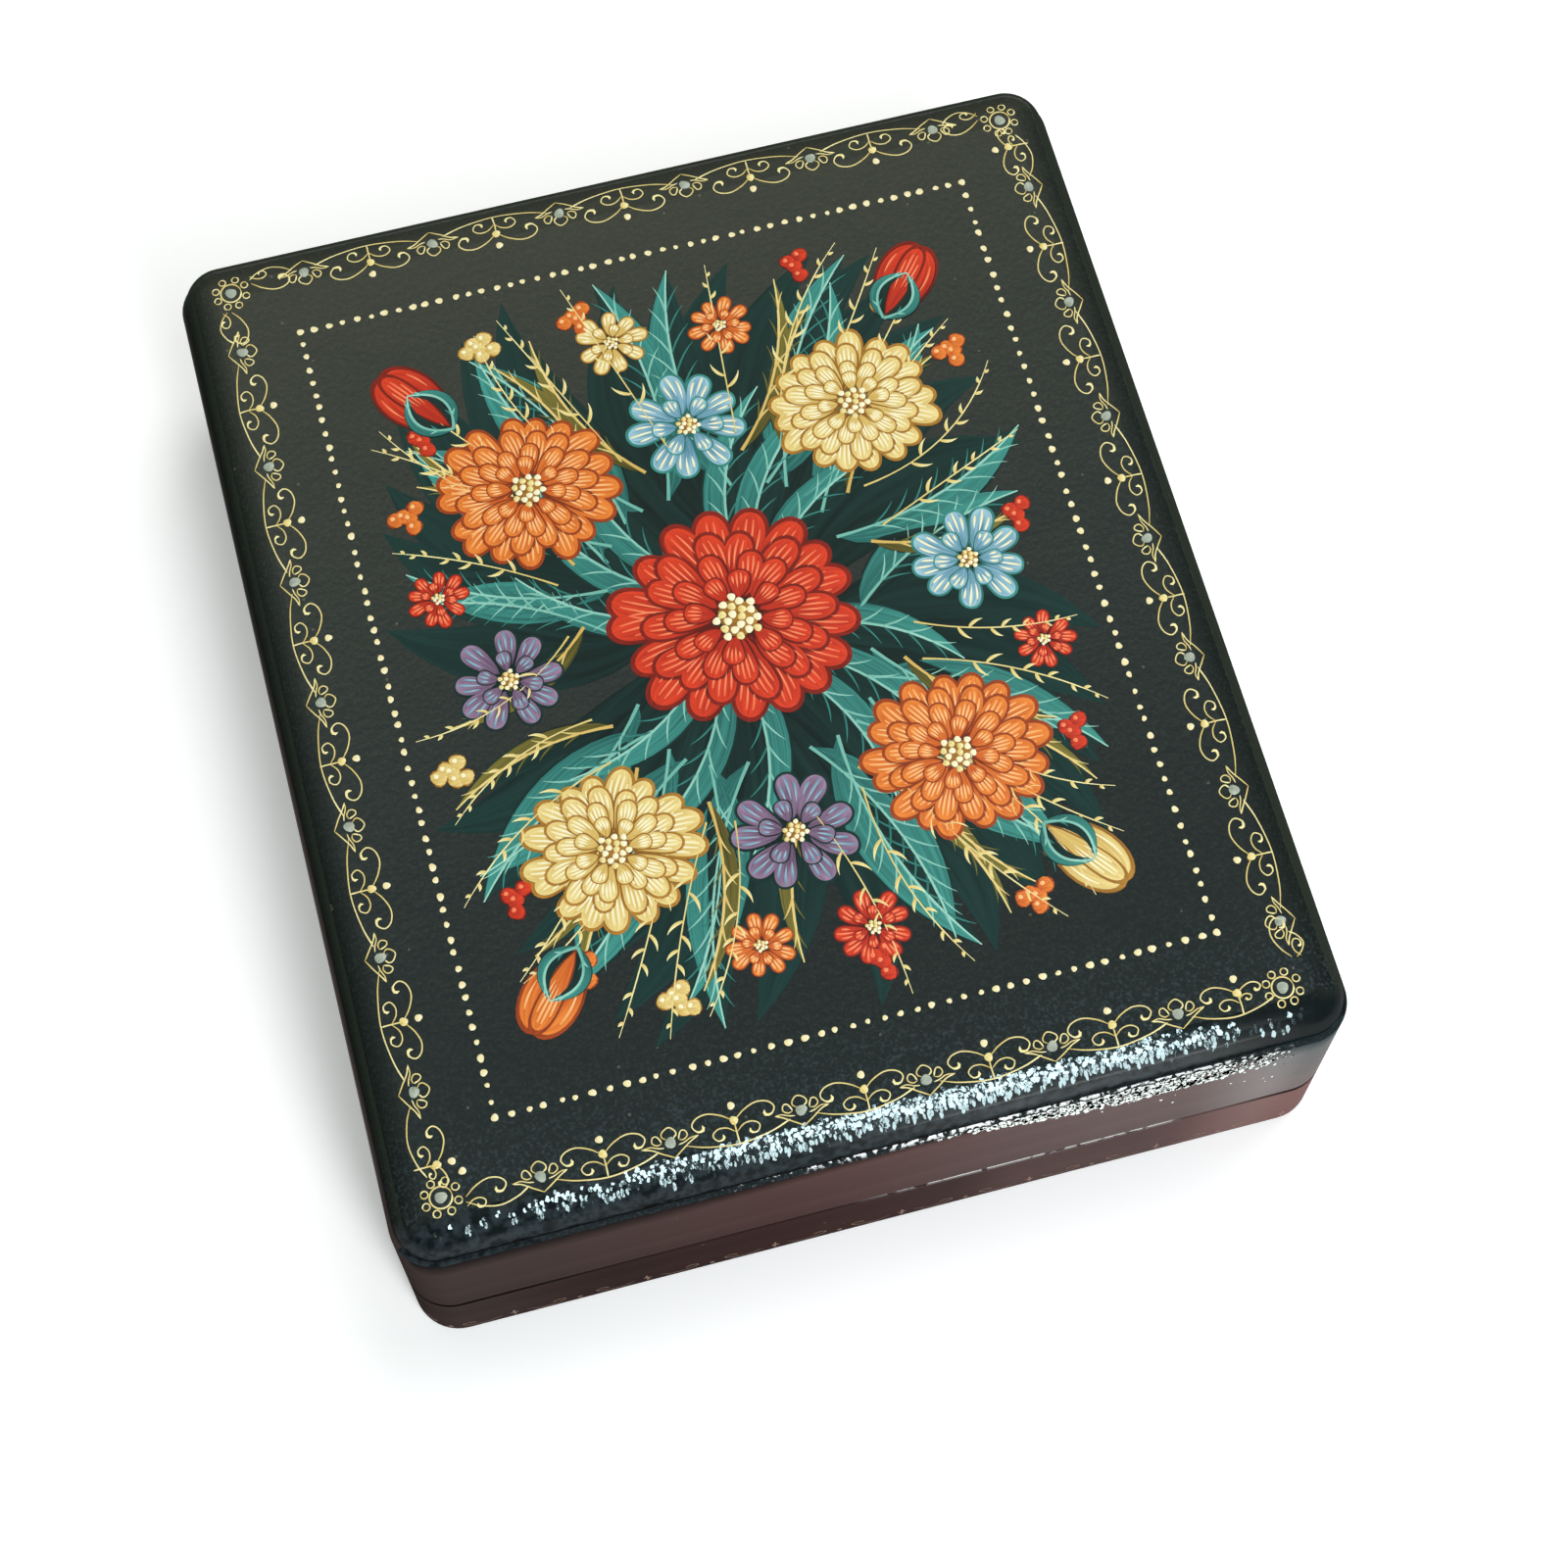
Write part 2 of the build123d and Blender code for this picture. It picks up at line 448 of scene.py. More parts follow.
print("steps along a petal", len(PETAL_STEPS), "and along a leaf", len(LEAF_STEPS))

# %% [markdown]
# ## The gold border
# A traditional ornament runs round the lid: small flowers with a silver heart, scrolls between them,
# hanging lines, a rosette at each corner, and a row of pale dots that frames the field.
# Each motif is drawn once in its own small frame, where x runs along the edge and y points out of the box.

# %% Border motifs
GOLD_LINE = 0.15
GOLD_LAYER = 1.0
PALE_DOT = 0.42
FLOWER_PETAL = (
    (0.95, -0.15), (1.45, -0.02), (1.95, -0.4), (1.8, -0.95), (1.4, -1.05), (1.1, -0.65), (0.95, -0.2)
)
LARGE_SCROLL = (
    (0.1, 0.0), (1.3, -0.9), (2.8, -1.45), (4.1, -1.2), (4.7, -0.45), (4.2, 0.3), (3.5, 0.2), (3.55, -0.3)
)
SMALL_SCROLL = ((0.05, 1.3), (0.9, 0.65), (1.9, 0.55), (2.6, 1.1), (2.2, 1.8), (1.5, 1.7), (1.5, 1.25))
ROSETTE_LOOPS = 8


def outward_of(along):
    """The direction out of the box, for a side that is walked with the box to the left."""
    return np.array([along[1], -along[0]])


def site(origin, along):
    """A drawing place on the border, which turns the motif's own points into places on the lid."""
    outward = outward_of(along)

    def place(points):
        points = np.atleast_2d(np.asarray(points, float))
        return origin + points[:, :1] * along + points[:, 1:] * outward

    return place


def gold_line(points, steps, width=GOLD_LINE, end=1.25):
    """A gold pen line through the points."""
    path = curve_through(points, steps)
    stroke("gold_line", path, pen_widths(steps, width, end=end), GOLD_LAYER, LINE_BODY)


def gold_circle(centre, radius, start, steps, width):
    """A gold pen line that closes on itself."""
    path = circle(centre, radius, start, steps)
    stroke("gold_line", path, pen_widths(steps, width), GOLD_LAYER, LINE_BODY)


def border_flower(place):
    """Silver heart, two leaf-tipped arms that meet outside it, and three looped petals inside."""
    lean = wobble(0.12)
    for side in (-1, 1):
        tip = (side * (3.05 + wobble(0.15)), wobble(0.12))
        gold_line(place([(lean, 1.7), (side * 1.15, 1.0), (side * 2.15, 0.35), tip]), 12)
        gold_line(place([tip, (side * 2.2, -0.02), (side * 1.45, 0.3), (side * 0.8, 0.42)]), 9, 0.13)
        gold_line(place([(side * x, y) for x, y in FLOWER_PETAL]), 15)
    half = [(-0.4, -0.45), (-0.8, -0.8), (-0.66, -1.3)]
    other_half = [(-x, y) for x, y in reversed(half)]
    gold_line(place(half + [(lean, -1.7)] + other_half), 18)
    dot("silver_dot", place((0, 0))[0], 0.58, GOLD_LAYER, stretch=1.12, turn=wobble(1.5))


def large_scroll(place, side, start=0.0, reach=1.0):
    """The long scroll that leaves a boss on the inner side and curls back."""
    reach = reach * (1 + wobble(0.06))
    gold_line(place([(start + side * x * reach, y * reach) for x, y in LARGE_SCROLL]), 26, 0.16, end=2.4)


def small_scroll(place, side, start=0.0, reach=1.0):
    """The small spiral on the outer side of a boss."""
    gold_line(place([(start + side * x * reach, y * reach) for x, y in SMALL_SCROLL]), 18, end=2.2)


def border_boss(place, reaches=(1.0, 1.0)):
    """A gold boss with its stem, a long and a small scroll on each side and a pale dot below."""
    dot("gold_line", place((0, 0))[0], 0.48, GOLD_LAYER)
    gold_line(place([(0, 0.1), (wobble(0.08), 1.2), (0, 2.5)]), 8, 0.17)
    for side, reach in zip((-1, 1), reaches):
        large_scroll(place, side, reach=reach)
        small_scroll(place, side, reach=reach)
    dot("cream_dot", place((wobble(0.1), -1.65))[0], PALE_DOT, GOLD_LAYER)


def rosette(centre):
    """A silver heart in a ring, ringed by small loops."""
    centre = np.array(centre)
    dot("silver_dot", centre, 0.66, GOLD_LAYER)
    gold_circle(centre, 1.22, 0.0, 22, 0.18)
    for k, angle in spokes(ROSETTE_LOOPS, 0.5, 0.08):
        middle = centre + (1.86 + wobble(0.06)) * direction(angle)
        gold_circle(middle, 0.41, angle, 13, GOLD_LINE)


def swag(place, start, end):
    """The hanging line that swings out from one flower to the next."""
    run = end - start
    hang = ((0.0, 0.55), (0.2, 1.3), (0.5, 1.75), (0.8, 1.3), (1.0, 0.55))
    gold_line(place([(start + share * run, out) for share, out in hang]), 20)


print("a gold line is", GOLD_LINE, "mm wide")

# %% [markdown]
# The hand that painted the box didn't divide its sides evenly, so each lists its own first and last flower.
# Three sides end in one more boss with short scrolls before the next rosette.

# %% Paint the border
ROSETTE_X = 47.6
ROSETTE_Y = 57.1
ROSETTES = ((-ROSETTE_X, -ROSETTE_Y), (-ROSETTE_X, ROSETTE_Y), (46.2, -57.6), (ROSETTE_X, ROSETTE_Y))
ROSETTE_EDGE = 2.5
LONE_DOT = (-44.75, -54.85)
BOSS_RISE = 0.75
FLOWER_EDGE = 1.4
SHORT_REACHES = (0.9, 0.55)
END_SCROLL = 0.8


class BorderSide(NamedTuple):
    """One side of the border, with places along it counted from its middle, in mm."""

    along: tuple
    out: float
    corner: float
    first_flower: float
    last_flower: float
    flowers: int
    extra_boss: float | None


BORDER_SIDES = (
    BorderSide((1, 0), 57.7, ROSETTE_X, -36.8, 34.2, 6, 41.2),
    BorderSide((0, 1), 48.3, ROSETTE_Y, -49.9, 46.9, 7, 53.2),
    BorderSide((-1, 0), 57.8, ROSETTE_X, -39.4, 38.3, 6, None),
    BorderSide((0, -1), 48.0, ROSETTE_Y, -49.1, 44.7, 7, 53.5),
)


def paint_side(side):
    """One side of the border, walked counter-clockwise with the box to the left."""
    along = np.array(side.along, float)
    outward = outward_of(along)

    def spot(place, shift):
        return site(outward * (side.out + shift) + along * place, along)

    flowers = np.linspace(side.first_flower, side.last_flower, side.flowers)
    flowers = [place + wobble(0.35) for place in flowers]
    for place in flowers:
        border_flower(spot(place, wobble(0.2)))
    bosses = [(a + b) / 2 + wobble(0.2) for a, b in zip(flowers, flowers[1:])]
    for place in bosses:
        border_boss(spot(place, wobble(0.15) - BOSS_RISE))
    whole = spot(0.0, 0.0)
    start = ROSETTE_EDGE - side.corner
    stops = [start]
    for place in flowers:
        stops += [place - FLOWER_EDGE, place + FLOWER_EDGE]
    stops.append(-start)
    for swag_start, swag_end in zip(stops[::2], stops[1::2]):
        swag(whole, swag_start, swag_end)
    bare_ends = (1, -1) if side.extra_boss is None else (1,)
    for way in bare_ends:
        large_scroll(whole, way, way * start)
        small_scroll(whole, way, way * start, END_SCROLL)
    if side.extra_boss is not None:
        border_boss(spot(side.extra_boss, -BOSS_RISE), SHORT_REACHES)


for side in BORDER_SIDES:
    paint_side(side)
for centre in ROSETTES:
    rosette(centre)
dot("cream_dot", LONE_DOT, PALE_DOT, GOLD_LAYER)
print("gold marks", pots["gold_line"].marks, "silver", pots["silver_dot"].marks)

# %% The dotted frame
FRAME_CORNERS = ((-40.1, -50.0), (41.2, -49.7), (40.7, 49.8), (-40.7, 49.8))
FRAME_DOTS = (46, 54, 49, 58)
FRAME_DOT = 0.345


def paint_frame():
    """Pale dots in a row along each side of the field, with a larger one at each corner."""
    for k, count in enumerate(FRAME_DOTS):
        start = np.array(FRAME_CORNERS[k])
        end = np.array(FRAME_CORNERS[(k + 1) % len(FRAME_CORNERS)])
        turn = math.atan2(end[1] - start[1], end[0] - start[0])
        dot("cream_dot", start, PALE_DOT, GOLD_LAYER)
        for step in range(1, count - 1):
            middle = start + (end - start) * (step + wobble(0.12)) / (count - 1)
            middle = middle + np.array([wobble(0.07), wobble(0.07)])
            size = FRAME_DOT + wobble(0.07)
            dot("cream_dot", middle, size, GOLD_LAYER, stretch=1.1 + wobble(0.12), turn=turn + wobble(0.3))


paint_frame()
print("pale dots", pots["cream_dot"].marks)

# %% [markdown]
# ## The painted spray
# The field carries a folk bouquet: five large flowers, buds, berries, and leaves that fade into the black.
# Such boxes are painted from dark to light: a shadow tone, the colour, then fine combed lights and grasses.
# The strokes follow that order, each layer a few thousandths of a millimetre above the last.

# %% Petals and leaves
TEAL = ("teal_shadow", "teal_leaf", "teal_light")
OLIVE = ("teal_shadow", "olive_leaf", "cream_petal")
RED = ("red_shadow", "red_petal", "red_light")
ORANGE = ("orange_shadow", "orange_petal", "orange_light")
CREAM = ("ochre_petal", "cream_petal", "cream_light")
BLUE = ("teal_leaf", "blue_petal", "cream_light")
PLUM = ("teal_shadow", "plum_petal", "blue_petal")
COMB_WIDTH = 0.26
COMB_STEPS = np.linspace(0.12, 1, 8)
RIB_WIDTH = 0.3
VEIN_WIDTH = 0.24


def petal(base, tip, width, bow, paints, layer, combs=4):
    """A petal from dark to light: shadow, colour, and lights combed from its tip inwards."""
    shadow, colour, light = paints
    stroke(shadow, bowed(base, tip, bow, PETAL_STEPS), petal_widths(PETAL_STEPS, width), layer)
    inner = 0.06 + 0.89 * PETAL_STEPS
    stroke(colour, bowed(base, tip, bow, inner), 0.82 * petal_widths(PETAL_STEPS, width), layer + 1)
    for share in np.linspace(-0.3, 0.3, combs):
        reach = np.linspace(0.92 - 0.5 * abs(share), 0.45 + wobble(0.08), len(COMB_STEPS))
        spine = bowed(base, tip, bow, reach)
        spread = share * petal_widths(reach, width) * (0.5 + 0.5 * reach)
        comb = spine - side_of(spine) * spread[:, None]
        stroke(light, comb, leaf_widths(COMB_STEPS, COMB_WIDTH), layer + 2)


def leaf(base, tip, width, bow, paints, layer=0.0, veins=7):
    """A leaf with one lit half, a rib and veins combed forward."""
    shadow, colour, light = paints
    spine = bowed(base, tip, bow, LEAF_STEPS)
    left = side_of(spine)
    lit = 1 if bow > 0 else -1
    stroke(shadow, spine, leaf_widths(LEAF_STEPS, width), layer)
    half = leaf_widths(LEAF_STEPS, 0.44 * width)
    stroke(colour, spine + left * (lit * 0.52 * half)[:, None], half, layer + 1)
    stroke(light, spine, pen_widths(len(spine), RIB_WIDTH, start=1.4, end=0.6), layer + 2.2)
    for side in (-1, 1):
        for share in np.linspace(0.16, 0.8, veins):
            start, ahead = bowed(base, tip, bow, [share, min(share + 0.13, 1.0)])
            across = left[int(share * (len(left) - 1))]
            room = 0.4 * leaf_widths(share, width)
            path = bowed(start, ahead + across * side * room, -0.06 * side, np.linspace(0.05, 1, 6))
            paint = light if side == lit else colour
            stroke(paint, path, leaf_widths(np.linspace(0.2, 1, 6), VEIN_WIDTH), layer + 2)


print("combs are", COMB_WIDTH, "mm wide")

# %% Flowers, buds, berries and grasses
FULL_PETALS = ((17, 1.0, 0.4), (14, 0.81, 0.42), (11, 0.62, 0.46), (8, 0.43, 0.56))
SMALL_PETALS = ((9, 1.0, 0.55), (6, 0.6, 0.66))
RING_LAYERS = 2.6
LARGE_RADIUS = 9
SEED_ANGLE = 2.4
HEART_SHARE = 0.16


def flower(centre, radius, rings, paints, layer, turn=0.0, tilt=(1.0, 1.0)):
    """Rings of petals from the outside in, then a heart of dots."""
    centre = np.asarray(centre, float)
    combs = 4 if radius > LARGE_RADIUS else 3
    for number, (count, reach, breadth) in enumerate(rings):
        for k, angle in spokes(count, 0.5 * number, 0.12):
            outward = direction(turn + angle) * tilt
            far = radius * reach * (1 + wobble(0.06))
            base = centre + outward * HEART_SHARE * radius
            petal_layer = layer + RING_LAYERS * number + 0.04 * k
            petal(base, centre + outward * far, breadth * far, wobble(0.08), paints, petal_layer, combs)
    top = layer + RING_LAYERS * len(rings)
    dot("ochre_petal", centre, HEART_SHARE * radius, top, PETAL_BODY)
    seeds = int(7 + radius)
    for k in range(seeds):
        place = centre + 0.19 * radius * math.sqrt((k + 0.5) / seeds) * direction(SEED_ANGLE * k)
        dot("cream_light" if k % 3 else "gold_line", place, 0.026 * radius + 0.1, top + 1)


def bud(base, tip, width, paints, layer):
    """A closed bud: three petals held by two teal sepals."""
    petal(base, tip, width, 0.14, paints, layer, combs=2)
    petal(base, tip, width, -0.14, paints, layer + 0.4, combs=2)
    petal(base, tip, 0.7 * width, 0, paints, layer + 3)
    middle = np.asarray(base) + 0.62 * (np.asarray(tip) - np.asarray(base))
    for side in (-1, 1):
        leaf(base, middle, 0.4 * width, side * 0.3, TEAL, layer + 6, veins=2)


def berries(centre, paints, layer, count=5, spread=1.9, size=0.9):
    """A cluster of round berries, each with a light on it."""
    shadow, colour, light = paints
    for k in range(count):
        place = centre + spread * math.sqrt(k / count) * direction(SEED_ANGLE * k + wobble(0.3))
        dot(shadow, place, size * 1.15, layer + 0.1 * k, PETAL_BODY)
        dot(colour, place, size, layer + 1 + 0.1 * k, PETAL_BODY)
        dot(light, place + np.array([-0.3, 0.3]) * size, 0.3 * size, layer + 2 + 0.1 * k, PETAL_BODY)


def grass(base, tip, bow, layer, paint="gold_line", leaflets=9):
    """A fine grass: one thin line with small leaflets along its outer half."""
    spine = bowed(base, tip, bow, np.linspace(0, 1, 16))
    stroke(paint, spine, pen_widths(len(spine), 0.17, start=1.5, end=0.5), layer, LINE_BODY)
    length = np.linalg.norm(tip - base)
    left = side_of(spine)
    for k, share in enumerate(np.linspace(0.3, 0.97, leaflets)):
        row = int(share * (len(spine) - 1))
        forward = np.array([left[row][1], -left[row][0]])
        side = 1 if k % 2 else -1
        reach = 0.1 * length * (1.2 - share)
        end = spine[row] + forward * reach + left[row] * side * reach * 0.8
        path = bowed(spine[row], end, 0.12 * side, np.linspace(0, 1, 7))
        stroke(paint, path, leaf_widths(np.linspace(0.1, 1, 7), 0.42), layer, LINE_BODY)


print("full flower has", sum(ring[0] for ring in FULL_PETALS), "petals")

# %% [markdown]
# The bouquet is laid out in a rounded field. One large flower stands in the middle and four stand round it.
# Leaves, grasses and berries reach out from them in wreaths, as far as the dotted frame allows.
# Nothing is copied from one half to the other: the hand wobbles.

# %% Compose the spray
FIELD_X = 38.5
FIELD_Y = 47.5
FIELD_SQUARENESS = 0.62
FLOWER_LAYER = 6.0
LARGE_FLOWERS = (
    ((-19.5, 22.5), 10.6, ORANGE, 0.15),
    ((20.0, 24.0), 10.2, CREAM, 0.3),
    ((-20.5, -23.5), 10.2, CREAM, 0.5),
    ((19.5, -22.0), 10.8, ORANGE, 0.0),
    ((0.0, 0.5), 14.5, RED, 0.1),
)
SMALL_FLOWERS = (
    ((0.5, 26.0), 7.0, BLUE, 0.4),
    ((-0.5, -26.5), 7.2, PLUM, 0.2),
    ((-27.0, -0.5), 6.6, PLUM, 0.1),
    ((27.5, 1.0), 6.6, BLUE, 0.3),
    ((-5.5, 39.0), 4.4, CREAM, 0.7),
    ((7.5, 38.0), 3.8, ORANGE, 0.5),
    ((5.0, -39.5), 4.4, RED, 0.9),
    ((-7.5, -38.5), 3.8, ORANGE, 0.2),
    ((-32.5, 11.5), 3.6, RED, 0.0),
    ((33.0, -11.0), 3.6, RED, 0.6),
)
SPRAY_BUDS = (
    ((-26.0, 32.5), (-33.0, 41.5), 5.4, RED),
    ((26.5, 34.0), (33.5, 42.5), 5.4, RED),
    ((-27.0, -33.5), (-34.0, -42.0), 5.2, ORANGE),
    ((26.5, -32.5), (33.5, -41.5), 5.2, CREAM),
)


def on_field(share, angle):
    """A place at a share of the way from the middle to the edge of the rounded field."""
    rounded = np.sign(direction(angle)) * np.abs(direction(angle)) ** FIELD_SQUARENESS
    return share * np.array([FIELD_X, FIELD_Y]) * rounded


def paint_leaves():
    """Leaves that fade into the black, lit leaves in two wreaths, and narrow bracts."""
    for k, angle in spokes(30, 0.5, 0.2):
        tip = on_field(1.0 + wobble(0.04), angle + 0.05)
        spine = bowed(on_field(0.2, angle), tip, 0.12, LEAF_STEPS)
        stroke("teal_shadow", spine, leaf_widths(LEAF_STEPS, 9.5), 0.03 * k)
    for k, angle in spokes(26, 0.0, 0.15):
        swing = 0.09 * (-1) ** k
        tip = on_field(0.95 + wobble(0.05), angle + swing)
        leaf(on_field(0.36, angle), tip, 7.2, 0.9 * swing, TEAL, 1 + 0.02 * k, veins=8)
    for k, angle in spokes(12, 0.5, 0.15):
        tip = on_field(0.62, angle + 0.1)
        leaf(on_field(0.1, angle), tip, 5.6, 0.12, TEAL, 2.2 + 0.02 * k, veins=6)
    for k, angle in spokes(19, 0.3, 0.15):
        swing = -0.09 * (-1) ** k
        tip = on_field(0.9 + wobble(0.06), angle + swing)
        leaf(on_field(0.45, angle), tip, 3.6, swing, OLIVE, 3 + 0.02 * k, veins=5)


def paint_fillers():
    """Grasses and berries between the leaves."""
    for k, angle in spokes(30, 0.7, 0.2):
        tip = on_field(1.0 + wobble(0.04), angle + wobble(0.08))
        grass(on_field(0.5, angle), tip, wobble(0.12), 5)
    for k, angle in spokes(16, 0.15, 0.2):
        paints = (RED, ORANGE, CREAM)[k % 3]
        berries(on_field(0.92 + wobble(0.03), angle), paints, FLOWER_LAYER, count=4 + k % 3)


def paint_spray():
    """The whole bouquet, from the leaves at the back to the flowers in front."""
    paint_leaves()
    paint_fillers()
    for base, tip, width, paints in SPRAY_BUDS:
        bud(base, tip, width, paints, FLOWER_LAYER)
    for centre, radius, paints, turn in SMALL_FLOWERS:
        flower(centre, radius, SMALL_PETALS, paints, FLOWER_LAYER, turn)
    for centre, radius, paints, turn in LARGE_FLOWERS:
        flower(centre, radius, FULL_PETALS, paints, FLOWER_LAYER + 1.2, turn, (1.0, 0.94))


paint_spray()
print("marks of each paint", {name: paint.marks for name, paint in pots.items()})

# %% [markdown]
# ## From pots to pieces
# A mark is kept as a place on a surface and a height above it. Now each place is put on the board, and the
# height is taken along the surface's normal, so that marks on the roll lean with it.
# Sharp edges are marked only where a stroke's back meets its underside; the back itself stays smooth.

# %% Lay the paint on the lid
NORMAL_STEP = 0.02
PAINT_SMOOTHING = 65


def on_board(places):
    """Points and normals of the board at these places."""
    x, y = places.T
    rise_x = board_height(x + NORMAL_STEP, y) - board_height(x - NORMAL_STEP, y)
    rise_y = board_height(x, y + NORMAL_STEP) - board_height(x, y - NORMAL_STEP)
    normals = np.column_stack([-rise_x, -rise_y, np.full(len(x), 2 * NORMAL_STEP)])
    normals /= np.linalg.norm(normals, axis=1)[:, None]
    return ring_at(places, board_height(x, y)), normals


def piece_from_pot(name, paint, surface, body):
    """One piece from all the marks of a paint, laid on a surface and riding on a body."""
    points, normals = surface(np.vstack(paint.places))
    points = points + normals * np.concatenate(paint.heights)[:, None]
    piece = new_piece(name, points, paint.faces, PAINT_SMOOTHING)
    mesh = piece.data
    layer = mesh.uv_layers.new(name="brush")
    corner_points = np.empty(len(mesh.loops), int)
    mesh.loops.foreach_get("vertex_index", corner_points)
    layer.data.foreach_set("uv", np.vstack(paint.brush)[corner_points].astype(np.float32).ravel())
    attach(piece, body)
    return piece


painted = {}
for name, paint in pots.items():
    painted[name] = piece_from_pot("paint_" + name, paint, on_board, "lid")
print("faces of paint", {name: len(piece.data.polygons) for name, piece in painted.items()})

# %% [markdown]
# ## The band on the tray
# Just above the foot a faint bronze band goes round the tray: small crosses with fine scrolls between.
# It is painted with the same brush on another surface: the first number runs round the box, the other up.

# %% Paint the tray
tray_low, tray_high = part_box("tray_wall")
TRAY_HALF_WIDTH = tray_high.x / MM
TRAY_HALF_DEPTH = tray_high.y / MM
TRAY_CORNER = 5.2
BAND_HEIGHT = 3.0
BAND_BODY = 0.002
CROSS_UP = 1.0
CROSS_SIDE = 0.5
CROSS_COUNT = 30
BAND_WAVE = ((1.5, 0.0), (3.0, -0.85), (5.2, -0.55), (6.1, 0.2), (5.2, 0.6), (4.5, 0.15))


def tray_round():
    """Points round the tray's outside with the distance walked to each of them."""
    outline = rounded_outline(TRAY_HALF_WIDTH, TRAY_HALF_DEPTH, TRAY_CORNER)
    outline = np.vstack([outline, outline[:1]])
    walked = np.concatenate([[0], np.cumsum(np.linalg.norm(np.diff(outline, axis=0), axis=1))])
    return outline, walked


TRAY_OUTLINE, TRAY_WALKED = tray_round()


def on_tray(places):
    """Points and normals of the tray's outside at these places."""
    along = places[:, 0] % TRAY_WALKED[-1]
    x = np.interp(along, TRAY_WALKED, TRAY_OUTLINE[:, 0])
    y = np.interp(along, TRAY_WALKED, TRAY_OUTLINE[:, 1])
    out_x = np.clip(np.abs(x) - (TRAY_HALF_WIDTH - TRAY_CORNER), 0, None) * np.sign(x)
    out_y = np.clip(np.abs(y) - (TRAY_HALF_DEPTH - TRAY_CORNER), 0, None) * np.sign(y)
    normals = np.column_stack([out_x, out_y, np.zeros(len(x))])
    normals /= np.linalg.norm(normals, axis=1)[:, None] + 1e-9
    return np.column_stack([x, y, places[:, 1]]), normals


def paint_band():
    """Crosses at even steps round the tray, with a wave and two short scrolls between them."""
    pitch = TRAY_WALKED[-1] / CROSS_COUNT
    for k in range(CROSS_COUNT):
        middle = np.array([k * pitch + wobble(0.3), BAND_HEIGHT])
        for turn in range(4):
            tip = middle + np.array([CROSS_SIDE, CROSS_UP]) * direction(math.pi * turn / 2 + wobble(0.15))
            path = bowed(middle, tip, wobble(0.1), np.linspace(0, 1, 6))
            stroke("bronze_line", path, leaf_widths(np.linspace(0.1, 0.95, 6), 0.34), 0, BAND_BODY)
        for side in (-1, 1):
            line = [middle + np.array([side * x, y]) for x, y in BAND_WAVE]
            stroke("bronze_line", curve_through(line, 18), pen_widths(18, 0.14), 0, BAND_BODY)
        dot("bronze_line", middle + np.array([pitch / 2, -0.6]), 0.3, 0, BAND_BODY)


paint_band()
band = piece_from_pot("paint_bronze_line", pots["bronze_line"], on_tray, "tray")
painted["bronze_line"] = band
print("band faces", len(band.data.polygons), "over", round(TRAY_WALKED[-1]), "mm")

# %% [markdown]
# ## Crinkled gloss along the front
# At the front the last coat dried in a fine crinkle: flat flakes that each lean their own way and break a
# lamp's highlight into sparks. A bump could imitate that, but a flake is flat and has an edge of its own.
# So each one is a small tile, an uneven ring of points, laid on the surface and tilted a little.
# Two functions say how many flakes are left at a place; they thin out towards both ends of the front.

# %% Flakes of gloss
FLAKE_POINTS = 7
FLAKE_BODY = 0.02
FLAKE_SPREAD = (0.7, 1.25)
flake_hand = random.Random(23)


def ease(value, low, high):
    """0 at low, 1 at high, smooth between; low may be above high."""
    share = np.clip((value - low) / (high - low), 0, 1)
    return share * share * (3 - 2 * share)


def roll_gloss(x, inset):
    """How many of the flakes are left at a place on the front roll, from none to all."""
    along = ease(x, -60, -8) * ease(x, 52, 28)
    to_right = ease(x, 26, 46)
    low = 0.7 - 0.4 * to_right
    high = 4.6 - 1.3 * ease(x, -5, -40) - 2.0 * to_right
    return along * ease(inset, low, low + 1.1) * ease(inset, high, high - 1.3)


def wall_gloss(x, z):
    """The same on the wall under the shoulder, where the gloss runs lower towards the right."""
    lowest = SHOULDER_TOP - 0.4 - 4.6 * ease(x, 2, 30)
    stray = 0.04 * ease(x, 20, 36) * ease(x, 48, 45)
    return stray + ease(x, -4, 12) * ease(x, 50, 35) * ease(z, lowest - 0.9, lowest + 0.9)


def off_by(amount):
    """A small deviation of a flake, the same at every run."""
    return flake_hand.uniform(-amount, amount)


def flake(place, normal, right, long_way, short_way):
    """Points of one tile with its underside, centred at a place of the surface."""
    along = np.cross(normal, right)
    angles = 2 * math.pi * np.arange(FLAKE_POINTS) / FLAKE_POINTS
    uneven = np.array([flake_hand.uniform(*FLAKE_SPREAD) for angle in angles])
    across_reach = long_way * uneven * np.cos(angles)
    along_reach = short_way * uneven * np.sin(angles)
    top = place + across_reach[:, None] * right + along_reach[:, None] * along
    return np.vstack([top, top - FLAKE_BODY * normal])


def flake_faces(count):
    """Faces of that many tiles: top, underside and rim."""
    faces = []
    for first in range(0, count * 2 * FLAKE_POINTS, 2 * FLAKE_POINTS):
        low = first + FLAKE_POINTS
        faces.append(tuple(range(first, low)))
        faces.append(tuple(reversed(range(low, low + FLAKE_POINTS))))
        faces += faces_between(low, first, FLAKE_POINTS)
    return faces


def piece_from_flakes(name, tiles):
    """One piece from all the tiles, riding on the lid."""
    piece = new_piece(name, np.vstack(tiles), flake_faces(len(tiles)))
    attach(piece, "lid")
    return piece


print("points round a flake", FLAKE_POINTS)

